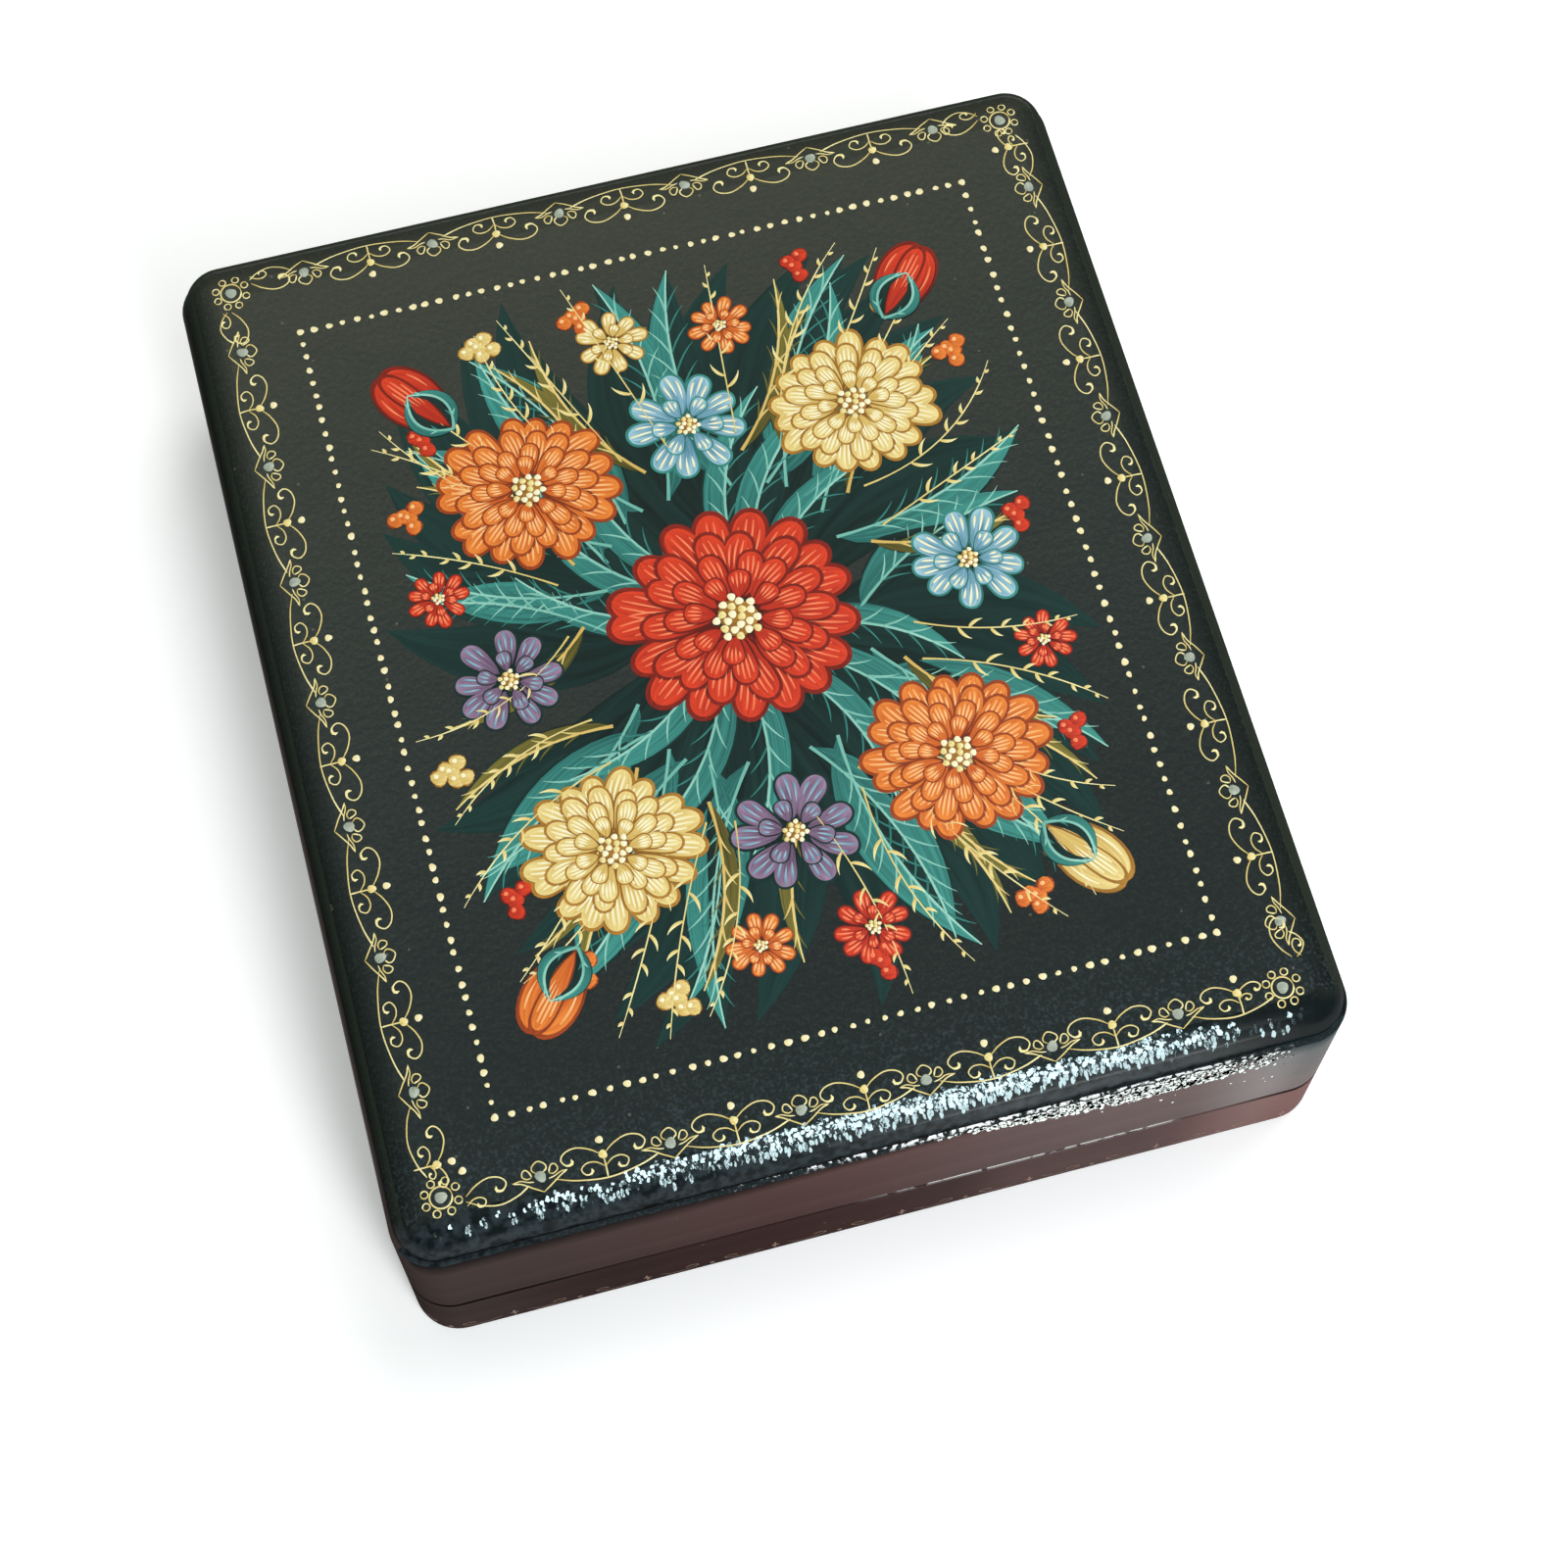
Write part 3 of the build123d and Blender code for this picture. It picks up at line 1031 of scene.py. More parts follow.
# %% Lay the flakes
FULLNESS = 1.15
ROLL_STEP = 0.46
ROLL_ROW = 0.4
ROLL_SIZE = 0.26
ROLL_PROUD = 0.006
ROLL_LEAN = 0.05
LEAN_TO_RIGHT = 0.07
DRAWN_OUT = 0.9
WALL_STEP = 0.55
WALL_ROW = 0.8
WALL_LONG = 0.38
WALL_SHORT = 0.6
WALL_PROUD = 0.008
LOWEST_FLAKE = 19


def unit(vector):
    """A vector of the same direction, one long."""
    return vector / np.linalg.norm(vector)


def roll_flakes():
    """Tiles over the front roll: drawn out at its lower edge, leaning to the right at its left end."""
    tiles = []
    for inset in np.arange(0.3, 5.0, ROLL_ROW):
        for x in np.arange(-50, 50, ROLL_STEP):
            x_here = x + off_by(0.2)
            inset_here = inset + off_by(0.18)
            lean = np.array([off_by(1), off_by(1), 0]) * ROLL_LEAN
            size = ROLL_SIZE * flake_hand.uniform(*FLAKE_SPREAD)
            if flake_hand.random() > FULLNESS * roll_gloss(x_here, inset_here):
                continue
            points, normals = on_board(np.array([[x_here, inset_here - HALF_DEPTH]]))
            lean[0] += LEAN_TO_RIGHT * ease(x_here, -15, -42)
            normal = unit(normals[0] + lean)
            right = unit(np.array([1, 0, -normal[0] / normal[2]]))
            drawn = 1 + DRAWN_OUT * ease(inset_here, 2.4, 1.2)
            across = size * 1.1 / drawn**0.5
            tiles.append(flake(points[0] + ROLL_PROUD * normal, normal, right, across, size * drawn))
    return tiles


def wall_flakes():
    """Tiles on the front wall below the shoulder."""
    tiles = []
    front = np.array([0.0, -1.0, 0.0])
    right = np.array([1.0, 0.0, 0.0])
    for z in np.arange(LOWEST_FLAKE, SHOULDER_TOP - SHOULDER_RADIUS, WALL_ROW):
        for x in np.arange(-6, 47, WALL_STEP):
            x_here = x + off_by(0.25)
            z_here = z + off_by(0.35)
            size = flake_hand.uniform(*FLAKE_SPREAD)
            gloss = wall_gloss(x_here, z_here)
            if flake_hand.random() > FULLNESS * gloss:
                continue
            size *= 0.4 + 0.6 * ease(gloss, 0.05, 0.4)
            place = np.array([x_here, -WALL_HALF_DEPTH - WALL_PROUD, z_here])
            tiles.append(flake(place, front, right, WALL_LONG * size, WALL_SHORT * size))
    return tiles


flakes_on_roll = piece_from_flakes("roll_flakes", roll_flakes())
flakes_on_wall = piece_from_flakes("wall_flakes", wall_flakes())
print("flake faces on the roll", len(flakes_on_roll.data.polygons))
print("flake faces on the wall", len(flakes_on_wall.data.polygons))

# %% [markdown]
# ## Effects that the finishes share
# Lacquer is brushed on in many coats and rubbed down, yet a fine orange peel stays. Dust settles in it.
# Bristles leave streaks in paint. Each of these is a shader node group with named sockets, built once and
# placed in many materials. The groups only put out values, masks and normals; a material keeps its shader.
# First come helpers for the nodes themselves, so that a material reads like a sentence.

# %% Node helpers
def plug(tree, socket, value):
    """Links a socket to another one, or sets it to a plain value."""
    if isinstance(value, bpy.types.NodeSocket):
        tree.links.new(value, socket)
    else:
        socket.default_value = value


def math_node(tree, operation, *values, clamp=False):
    """A Math node on sockets or plain numbers; returns its output."""
    node = tree.nodes.new("ShaderNodeMath")
    node.operation = operation
    node.use_clamp = clamp
    for socket, value in zip(node.inputs, values):
        plug(tree, socket, value)
    return node.outputs[0]


def chain(tree, operation, values):
    """One Math operation carried through several sockets or plain numbers."""
    result = values[0]
    for value in values[1:]:
        result = math_node(tree, operation, result, value)
    return result


def times(tree, *values):
    """The product of several values."""
    return chain(tree, "MULTIPLY", values)


def highest(tree, *values):
    """The largest of several values."""
    return chain(tree, "MAXIMUM", values)


def scaled(tree, value, factor, offset):
    """A value times a factor, plus an offset."""
    return math_node(tree, "MULTIPLY_ADD", value, factor, offset)


def rest_of(tree, share):
    """What a share leaves of one."""
    return math_node(tree, "SUBTRACT", 1.0, share)


def mix_colour(tree, share, first, second):
    """A colour between two, each a socket or an RGBA value."""
    node = tree.nodes.new("ShaderNodeMix")
    node.data_type = "RGBA"
    plug(tree, node.inputs[0], share)
    plug(tree, node.inputs[6], first)
    plug(tree, node.inputs[7], second)
    return node.outputs[2]


def colour(code):
    """A colour written as a web code, as the linear RGBA that shaders take."""
    values = [int(code[k : k + 2], 16) / 255 for k in (1, 3, 5)]
    return (*(v / 12.92 if v <= 0.04045 else ((v + 0.055) / 1.055) ** 2.4 for v in values), 1.0)


print("a mid grey in linear light is", round(colour("#808080")[0], 3))

# %% Places and masks
def object_place(tree):
    """The place on the object in metres, which stays the same when a body moves."""
    return tree.nodes.new("ShaderNodeTexCoord").outputs["Object"]


def parts_of(tree, vector):
    """The three numbers of a vector socket."""
    split = tree.nodes.new("ShaderNodeSeparateXYZ")
    tree.links.new(vector, split.inputs["Vector"])
    return [split.outputs[axis] for axis in "XYZ"]


def noise(tree, scale, detail=2.0, place=None):
    """A Noise texture, on the object unless another place is given; returns its value."""
    node = tree.nodes.new("ShaderNodeTexNoise")
    node.inputs["Detail"].default_value = detail
    tree.links.new(object_place(tree) if place is None else place, node.inputs["Vector"])
    plug(tree, node.inputs["Scale"], scale)
    return node.outputs["Fac"]


def drawn_noise(tree, scales):
    """Noise with a scale of its own along each axis."""
    stretch = tree.nodes.new("ShaderNodeMapping")
    stretch.inputs["Scale"].default_value = scales
    tree.links.new(object_place(tree), stretch.inputs["Vector"])
    return noise(tree, 1.0, place=stretch.outputs["Vector"])


def smooth_step(tree, value, low, high):
    """0 at low, 1 at high, smooth between; low may be above high."""
    node = tree.nodes.new("ShaderNodeMapRange")
    node.interpolation_type = "SMOOTHSTEP"
    tree.links.new(value, node.inputs["Value"])
    node.inputs["From Min"].default_value = low
    node.inputs["From Max"].default_value = high
    return node.outputs["Result"]


def ramp(tree, place, start, end):
    """0 at the start, 1 at the end, smooth between; both are places in mm."""
    return smooth_step(tree, place, start * MM, end * MM)


def window(tree, place, rise, fall):
    """1 between a rise and a fall, each given by its start and end in mm."""
    return times(tree, ramp(tree, place, *rise), ramp(tree, place, *fall))


def bump_normal(tree, height):
    """A normal from a height in metres."""
    bump = tree.nodes.new("ShaderNodeBump")
    bump.inputs["Distance"].default_value = 1.0
    tree.links.new(height, bump.inputs["Height"])
    return bump.outputs["Normal"]


print("masks are drawn in mm, and", round(1 / MM), "mm make a metre")

# %% Shared effects
def new_group(name, inputs, outputs):
    """An empty shader node group with these sockets: inputs are (name, default), outputs (name, kind)."""
    tree = bpy.data.node_groups.new(name, "ShaderNodeTree")
    for label, default in inputs:
        socket = tree.interface.new_socket(label, in_out="INPUT", socket_type="NodeSocketFloat")
        socket.default_value = default
    for label, kind in outputs:
        tree.interface.new_socket(label, in_out="OUTPUT", socket_type=kind)
    return tree, tree.nodes.new("NodeGroupInput").outputs, tree.nodes.new("NodeGroupOutput").inputs


def build_lacquer_ripple():
    """Orange peel over slow waves, as a normal."""
    tree, given, put = new_group(
        "Lacquer ripple",
        (("Peel per metre", 1400.0), ("Peel depth", 0.00002), ("Wave depth", 0.00006)),
        (("Normal", "NodeSocketVector"), ("Peel", "NodeSocketFloat")),
    )
    peel = noise(tree, given["Peel per metre"], 3.0)
    wave = noise(tree, 130.0, 1.0)
    wave_height = times(tree, wave, given["Wave depth"])
    height = scaled(tree, peel, given["Peel depth"], wave_height)
    tree.links.new(bump_normal(tree, height), put["Normal"])
    tree.links.new(peel, put["Peel"])
    return tree


def build_dust():
    """Specks caught in the lacquer: small cells, of which only a few hold a speck."""
    tree, given, put = new_group(
        "Dust specks",
        (("Cells per metre", 420.0), ("Speck size", 0.075), ("Share", 0.25)),
        (("Mask", "NodeSocketFloat"),),
    )
    cells = tree.nodes.new("ShaderNodeTexVoronoi")
    tree.links.new(object_place(tree), cells.inputs["Vector"])
    tree.links.new(given["Cells per metre"], cells.inputs["Scale"])
    near = math_node(tree, "LESS_THAN", cells.outputs["Distance"], given["Speck size"])
    split = tree.nodes.new("ShaderNodeSeparateColor")
    tree.links.new(cells.outputs["Color"], split.inputs["Color"])
    chosen = math_node(tree, "LESS_THAN", split.outputs[0], given["Share"])
    tree.links.new(times(tree, near, chosen), put["Mask"])
    return tree


def build_brush_mark():
    """Where a point lies along its stroke, and the streaks that the bristles left."""
    tree, given, put = new_group(
        "Brush mark",
        (("Bristles", 9.0), ("Drag", 2.0)),
        (("Along", "NodeSocketFloat"), ("Streak", "NodeSocketFloat")),
    )
    brush = tree.nodes.new("ShaderNodeUVMap")
    brush.uv_map = "brush"
    walked, across, unused = parts_of(tree, brush.outputs["UV"])
    along = math_node(tree, "FRACT", walked)
    number = math_node(tree, "FLOOR", walked)
    join = tree.nodes.new("ShaderNodeCombineXYZ")
    tree.links.new(times(tree, along, given["Drag"]), join.inputs["X"])
    tree.links.new(times(tree, across, given["Bristles"]), join.inputs["Y"])
    tree.links.new(times(tree, number, 7.31), join.inputs["Z"])
    tree.links.new(along, put["Along"])
    tree.links.new(noise(tree, 1.0, place=join.outputs["Vector"]), put["Streak"])
    return tree


LACQUER_RIPPLE = build_lacquer_ripple()
DUST = build_dust()
BRUSH_MARK = build_brush_mark()
print("node groups", [group.name for group in bpy.data.node_groups])

# %% [markdown]
# ## Lacquers
# Three lacquers make the box: black on the lid's top, a dark red-brown on the walls, and red inside.
# All of them end the same way, with dust, ripple and an uneven polish, so that part is written once.
# One solid shows its outside and its inside, so a mask in object space, drawn just behind the outer faces,
# tells which lacquer a place of it has.

# %% Lacquer helpers
DUST_TINT = "#a39a88"
DUST_STRENGTH = 0.2
INNER_FACES = (50.2, 59.45)
COLLAR_FACES = (49.3, 58.55)
UNDERSIDE_HEIGHT = 2.0


def place_group(tree, group, **values):
    """Places a node group in a material with its own values."""
    node = tree.nodes.new("ShaderNodeGroup")
    node.node_tree = group
    for label, value in values.items():
        node.inputs[label.replace("_", " ")].default_value = value
    return node.outputs


def new_material(name, specular=0.5, ior=1.5, coat_roughness=0.05):
    """A material with its Principled shader; plain numbers are set on the shader's own sockets."""
    material = bpy.data.materials.new(name)
    material.use_nodes = True
    put = material.node_tree.nodes["Principled BSDF"].inputs
    put["Specular IOR Level"].default_value = specular
    put["IOR"].default_value = ior
    put["Coat Roughness"].default_value = coat_roughness
    return material, material.node_tree, put


def inside_mask(tree, faces):
    """1 on the inner faces of the walls and floor, 0 outside and underneath."""
    x, y, z = parts_of(tree, object_place(tree))
    wall_x = math_node(tree, "DIVIDE", math_node(tree, "ABSOLUTE", x), faces[0] * MM)
    wall_y = math_node(tree, "DIVIDE", math_node(tree, "ABSOLUTE", y), faces[1] * MM)
    inside = math_node(tree, "LESS_THAN", highest(tree, wall_x, wall_y), 1.0)
    above = math_node(tree, "GREATER_THAN", z, UNDERSIDE_HEIGHT * MM)
    return times(tree, inside, above)


def red_tint(tree):
    """The red of the inside, a little cloudy."""
    return mix_colour(tree, noise(tree, 60.0), colour("#8a1a12"), colour("#a82418"))


def finish_lacquer(tree, put, tint, peel, depth, rough, rough_spread):
    """Shared end of every lacquer: dust, ripple and an uneven polish."""
    speck = times(tree, place_group(tree, DUST)["Mask"], DUST_STRENGTH)
    ripple = place_group(tree, LACQUER_RIPPLE, Peel_per_metre=peel, Peel_depth=depth)
    tree.links.new(mix_colour(tree, speck, tint, colour(DUST_TINT)), put["Base Color"])
    tree.links.new(scaled(tree, noise(tree, 90.0, 3.0), rough_spread, rough), put["Roughness"])
    tree.links.new(ripple["Normal"], put["Normal"])


print("inner faces of the walls at", INNER_FACES, "mm")

# %% [markdown]
# The black has a fine grain, lighter and bluer near the front, where it is a painted glint. On the roll it
# was
# rubbed dull by many hands: there the gloss is gone but for a cloudy sheen at the front. The back, right and
# left rolls are painted a little greyer, and the front of the roll a mottled bluish grey: painted sheen.

# %% Black lacquers
# Where the grain turns into a painted glint, from none to full towards the front, in mm.
PAINTED_GLINT_RAMP = (-44, -58)


def black_lacquer(name, specular, deep="#121817", thin="#1a1f1b"):
    """The deep black of the top, with a trace of green where it is thin."""
    material, tree, put = new_material(name, specular, 1.65)
    x, y, z = parts_of(tree, object_place(tree))
    tint = mix_colour(tree, noise(tree, 26.0), colour(deep), colour(thin))
    # Near the front the grain is lighter and bluer: a painted glint of the front lamp in the orange peel.
    painted_glint_share = ramp(tree, y, *PAINTED_GLINT_RAMP)
    painted_glint_tone = mix_colour(tree, painted_glint_share, colour("#2b332d"), colour("#3b474d"))
    grain = smooth_step(tree, noise(tree, 2600.0), 0.45, 0.75)
    tint = mix_colour(tree, times(tree, grain, scaled(tree, painted_glint_share, 0.15, 0.5)), tint, painted_glint_tone)
    finish_lacquer(tree, put, tint, 1300.0, 0.00003, 0.04, 0.09)
    return material


def inputs_of(material):
    """The node tree of a material and the sockets of its shader."""
    return material.node_tree, material.node_tree.nodes["Principled BSDF"].inputs


def rubbed_tint_and_painted_sheen(tree, tint, x, y, front):
    """Painted sheen: greyer along the back, the right and the left; mottled at the front, darker at its
    right end.
    """
    at_back = ramp(tree, y, 56.5, 60.5)
    at_right = times(tree, ramp(tree, x, 47.5, 51.5), 0.6)
    at_left = times(tree, window(tree, x, (-48.5, -50.5), (-53.4, -52.2)), 0.6)
    # The greyer back, right and left rolls are a painted reflection.
    tint = mix_colour(tree, highest(tree, at_back, at_right, at_left), tint, colour("#343a31"))
    # The mottled bluish grey at the front is a painted sheen, which fades out at the right end.
    mottle = smooth_step(tree, noise(tree, 900.0), 0.35, 0.65)
    dull = mix_colour(tree, mottle, colour("#12181a"), colour("#2c3438"))
    dull = mix_colour(tree, ramp(tree, x, 30, 44), dull, colour("#141a1b"))
    return mix_colour(tree, front, tint, dull)


def rubbed_sheen(tree, x, z, front):
    """Coat weight: a cloudy sheen on the upper part of the roll, most at the front right."""
    upper = window(tree, z, (31.5, 32.9), (33.9, 33.1))
    to_right = window(tree, x, (-10, 20), (52, 34))
    strength = scaled(tree, front, scaled(tree, to_right, 0.36, 0.05), 0.015)
    cloud = scaled(tree, noise(tree, 350.0), 1.2, 0.4)
    return math_node(tree, "MULTIPLY_ADD", front, 0.05, times(tree, strength, cloud, upper), clamp=True)


def rubbed_lacquer_with_painted_sheen():
    """Black that was rubbed dull on the roll, with a painted sheen in its colour."""
    material = black_lacquer("rubbed black lacquer with painted sheen", 0.0)
    tree, put = inputs_of(material)
    put["Coat IOR"].default_value = 1.7
    put["Coat Roughness"].default_value = 0.14
    x, y, z = parts_of(tree, object_place(tree))
    front = ramp(tree, y, -57.5, -60.5)
    tint = put["Base Color"].links[0].from_socket
    tree.links.new(rubbed_tint_and_painted_sheen(tree, tint, x, y, front), put["Base Color"])
    tree.links.new(rubbed_sheen(tree, x, z, front), put["Coat Weight"])
    return material


BLACK = black_lacquer("black lacquer", 0.9)
RUBBED_WITH_PAINTED_SHEEN = rubbed_lacquer_with_painted_sheen()
print("black lacquers", BLACK.name, "and", RUBBED_WITH_PAINTED_SHEEN.name)

# %% [markdown]
# Three more blacks carry the crinkle: patches of gloss on the shoulder, the flakes on the roll, whose
# reflection is a little blue, and the flakes on the wall, whose faces lean up to the lamp in front.

# %% Crinkled lacquers
WALL_LEAN = -0.95


def crinkled_lacquer():
    """The shoulder's black, with patches of gloss that get fewer towards both ends of the front."""
    # Its blacks are lighter than the top's: a painted sheen, as at the front of the rubbed roll.
    material = black_lacquer("crinkled black lacquer", 0.0, "#1c2223", "#262c2d")
    tree, put = inputs_of(material)
    put["Coat IOR"].default_value = 1.9
    put["Coat Roughness"].default_value = 0.08
    x, y, z = parts_of(tree, object_place(tree))
    along = window(tree, x, (-30, 10), (50, 40))
    patches = scaled(tree, along, 0.25, noise(tree, 1500.0))
    tree.links.new(smooth_step(tree, patches, 0.68, 0.8), put["Coat Weight"])
    return material


def flaked_lacquer():
    """The flakes of gloss on the roll."""
    material = black_lacquer("flaked black lacquer", 0.85)
    tree, put = inputs_of(material)
    put["Specular Tint"].default_value = (0.74, 0.95, 1.0, 1)
    return material


def leaning_lacquer():
    """The flakes under the shoulder, uneven and leaning upwards."""
    material, tree, put = new_material("leaning black lacquer", 1.0, 1.7)
    put["Specular Tint"].default_value = (0.9, 1.0, 0.97, 1)
    tint = mix_colour(tree, noise(tree, 300.0), colour("#4a403d"), colour("#685853"))
    tree.links.new(tint, put["Base Color"])
    uneven = noise(tree, 800.0)
    tree.links.new(scaled(tree, uneven, 0.1, 0.05), put["Roughness"])
    x, y, z = parts_of(tree, object_place(tree))
    height = scaled(tree, uneven, 0.00018, times(tree, z, WALL_LEAN))
    tree.links.new(bump_normal(tree, height), put["Normal"])
    return material


CRINKLED = crinkled_lacquer()
FLAKED = flaked_lacquer()
LEANING = leaning_lacquer()
print("crinkled lacquers", [material.name for material in (CRINKLED, FLAKED, LEANING)])

# %% [markdown]
# The walls are wound from paper, which shows as faint bands under the brown. The black of the top ran down
# over them, furthest at the left end of the front. The brown is painted lighter towards the right and darker
# downwards and on the tray: painted light and shade. At the front right corner the black reaches lower and
# turns blue-grey, and the tray's end is lighter and redder: both are painted reflections. The seam is a dark
# line, a painted shadow, with a broken glint under it.
# The gloss grows towards the front right corner, so each of these is a small function of the place.

# %% Wall lacquer
# A dark tone for the bands of the winding and for the painted shade lower down.
WALL_BAND_AND_PAINTED_SHADE = "#1c1110"
ON_TRAY = (12.8, 12.2)
CORNER_RUN = (38, 50)
CORNER_FRONT = (-45, -57)


def at_corner(tree, x, y):
    """1 at the front right corner, 0 before it and along the right side."""
    return times(tree, ramp(tree, x, *CORNER_RUN), ramp(tree, y, *CORNER_FRONT))


def wall_brown_with_painted_light(tree, x, y, z):
    """Brown with bands; painted light: lighter rightwards, darker downwards and mid-tray, redder at the
    tray's end.
    """
    # Lighter towards the right: painted light.
    brown = mix_colour(tree, ramp(tree, x, -50, 5), colour("#4a3e3c"), colour("#5d4542"))
    bands = smooth_step(tree, drawn_noise(tree, (7, 7, 240)), 0.25, 0.75)
    brown = mix_colour(tree, times(tree, bands, 0.22), brown, colour(WALL_BAND_AND_PAINTED_SHADE))
    # Darker downwards: painted shade.
    lower = times(tree, ramp(tree, z, 25, 12.5), 0.16)
    brown = mix_colour(tree, lower, brown, colour(WALL_BAND_AND_PAINTED_SHADE))
    on_tray_wall = ramp(tree, z, *ON_TRAY)
    # Darker on the tray, most in its middle: painted shade.
    middle = window(tree, x, (-50, -30), (17, 8))
    painted_tray_shade = times(tree, on_tray_wall, scaled(tree, middle, 0.42, 0.1))
    brown = mix_colour(tree, painted_tray_shade, brown, colour("#1c0f0e"))
    # The front right end of the tray, lighter and redder: a painted reflection.
    painted_tray_end_light = times(tree, ramp(tree, x, 30, 48), ramp(tree, y, *CORNER_FRONT), on_tray_wall, 0.6)
    return mix_colour(tree, painted_tray_end_light, brown, colour("#84544e"))


def black_and_painted_reflection_share(tree, x, y, z):
    """Share of black: ragged, lower at the left, none on the left side; lower at the corner as a painted
    reflection.
    """
    start = scaled(tree, ramp(tree, x, 12, -30), -3 * MM, 29.8 * MM)
    # At the front right corner the black reaches 16 mm lower: a painted reflection, tinted blue-grey on the
    # wall.
    start = scaled(tree, at_corner(tree, x, y), -16 * MM, start)
    ragged = scaled(tree, noise(tree, 500.0), 0.8 * MM, z)
    above = math_node(tree, "SUBTRACT", ragged, start)
    whole = math_node(tree, "SUBTRACT", 31.6 * MM, start)
    share = math_node(tree, "SMOOTH_MIN", 1.0, math_node(tree, "DIVIDE", above, whole), 0.3)
    on_left = times(tree, ramp(tree, x, -52.2, -53), ramp(tree, y, 30, -20))
    return times(tree, highest(tree, share, 0.0), rest_of(tree, on_left))


def seam_shadow(tree, x, y, z):
    """The dark line where lid and tray meet, strongest at both ends of the front."""
    line = window(tree, z, (11.9, 12.3), (13.2, 12.8))
    at_ends = highest(tree, ramp(tree, x, -28, -44), at_corner(tree, x, y))
    return times(tree, line, scaled(tree, at_ends, 0.55, 0.4))


def rim_glint(tree, x, z):
    """A broken line of gloss on the tray's rim."""
    along = window(tree, x, (-6, 10), (40, 32))
    on_rim = window(tree, z, (11.95, 12.1), (12.55, 12.5))
    broken = smooth_step(tree, noise(tree, 600.0), 0.36, 0.5)
    return times(tree, along, broken, on_rim)


def wall_coat(tree, x, y, z, seam, inside):
    """Coat weight: more to the right; less past the corner, on the tray, in the seam and up high."""
    to_right = times(tree, ramp(tree, x, -15, 40), 0.25)
    gloss = scaled(tree, ramp(tree, x, 34, 46), 0.36, to_right)
    past_corner = scaled(tree, ramp(tree, x, 44, 52), -0.6, 1.0)
    on_tray_wall = scaled(tree, ramp(tree, z, *ON_TRAY), -0.55, 1.0)
    up_high = scaled(tree, ramp(tree, z, 26.5, 30.9), -0.7, 1.0)
    gloss = times(tree, gloss, past_corner, on_tray_wall, up_high, rest_of(tree, seam))
    other_sides = times(tree, ramp(tree, y, -56, -50), 0.25)
    return highest(tree, gloss, other_sides, times(tree, inside, 0.6), rim_glint(tree, x, z))


def wall_lacquer():
    """Brown outside, black at the shoulder, red inside."""
    material, tree, put = new_material("wall lacquer", 0.0, 1.5, 0.16)
    put["Coat IOR"].default_value = 1.9
    x, y, z = parts_of(tree, object_place(tree))
    inside = inside_mask(tree, INNER_FACES)
    seam = seam_shadow(tree, x, y, z)
    # At the front right corner the black turns blue-grey: a painted reflection.
    black = mix_colour(tree, at_corner(tree, x, y), colour("#0e1010"), colour("#22383c"))
    outside = mix_colour(tree, black_and_painted_reflection_share(tree, x, y, z), wall_brown_with_painted_light(tree, x, y, z), black)
    outside = mix_colour(tree, seam, outside, colour("#0b0706"))
    tree.links.new(wall_coat(tree, x, y, z, seam, inside), put["Coat Weight"])
    tint = mix_colour(tree, inside, outside, red_tint(tree))
    finish_lacquer(tree, put, tint, 1100.0, 0.000012, 0.2, 0.14)
    return material


WALL = wall_lacquer()
print("nodes in the wall lacquer", len(WALL.node_tree.nodes))

# %% Red lacquer and brass
def red_lacquer():
    """The red of the inside, on the collar and under the board; the collar's outside is painted dark as a
    shadow.
    """
    material, tree, put = new_material("red lacquer")
    # The collar's outside shows in the seam; it is painted near black, a painted shadow in the seam.
    tint = mix_colour(tree, inside_mask(tree, COLLAR_FACES), colour("#150a09"), red_tint(tree))
    finish_lacquer(tree, put, tint, 1100.0, 0.000015, 0.2, 0.14)
    return material


def brass_wire():
    """Drawn brass, dulled, with scratches along the wire."""
    material, tree, put = new_material("brass wire")
    drawn = drawn_noise(tree, (40, 4000, 4000))
    tree.links.new(mix_colour(tree, drawn, colour("#8f6f35"), colour("#cba662")), put["Base Color"])
    tree.links.new(scaled(tree, drawn, 0.2, 0.22), put["Roughness"])
    put["Metallic"].default_value = 1.0
    return material


RED_INSIDE = red_lacquer()
BRASS = brass_wire()
print("inside", RED_INSIDE.name, "and pin", BRASS.name)

# %% [markdown]
# Now each piece gets its lacquer. The solids keep their meshes and only change material.
# On the board the wear goes ring by ring: rubbed at the edge, then less and less worn, then full gloss.
# At the front the rubbed zone takes the whole roll, since the flakes carry the gloss there.

# %% Give each piece its lacquer
LACQUER_OF_NODE = {
    "tray_floor": WALL,
    "tray_wall": WALL,
    "tray_collar": RED_INSIDE,
    "tray_barrel": WALL,
    "hinge_pin": BRASS,
    "lid_wall": WALL,
    "lid_barrel_right": WALL,
    "lid_barrel_left": WALL,
}
CRINKLE_START = -36
WEAR = (0.08, 0.16, 0.26, 0.38, 0.5, 0.68)
RINGS_PER_STEP = 2
RUBBED_AT_FRONT = 29
RUBBED_AT_LEFT = 18
MORE_AT_BACK = 3
MORE_AT_RIGHT = 1
WIDENING = (5, 0.5)


def dress(piece, *lacquers):
    """Gives a piece these lacquers in place of its own."""
    piece.data.materials.clear()
    for lacquer in lacquers:
        piece.data.materials.append(lacquer)


def dress_shoulder():
    """Crinkled along the front, brown on the left side, rubbed elsewhere."""
    dress(shoulder_lacquer, CRINKLED, RUBBED_WITH_PAINTED_SHEEN, WALL)
    for polygon in shoulder_lacquer.data.polygons:
        x, y, z = polygon.center / MM
        at_front = y < 2 - WALL_HALF_DEPTH and x > CRINKLE_START
        at_left = x < 1.5 - WALL_HALF_WIDTH and y > 3 - WALL_HALF_DEPTH
        polygon.material_index = 0 if at_front else 2 if at_left else 1


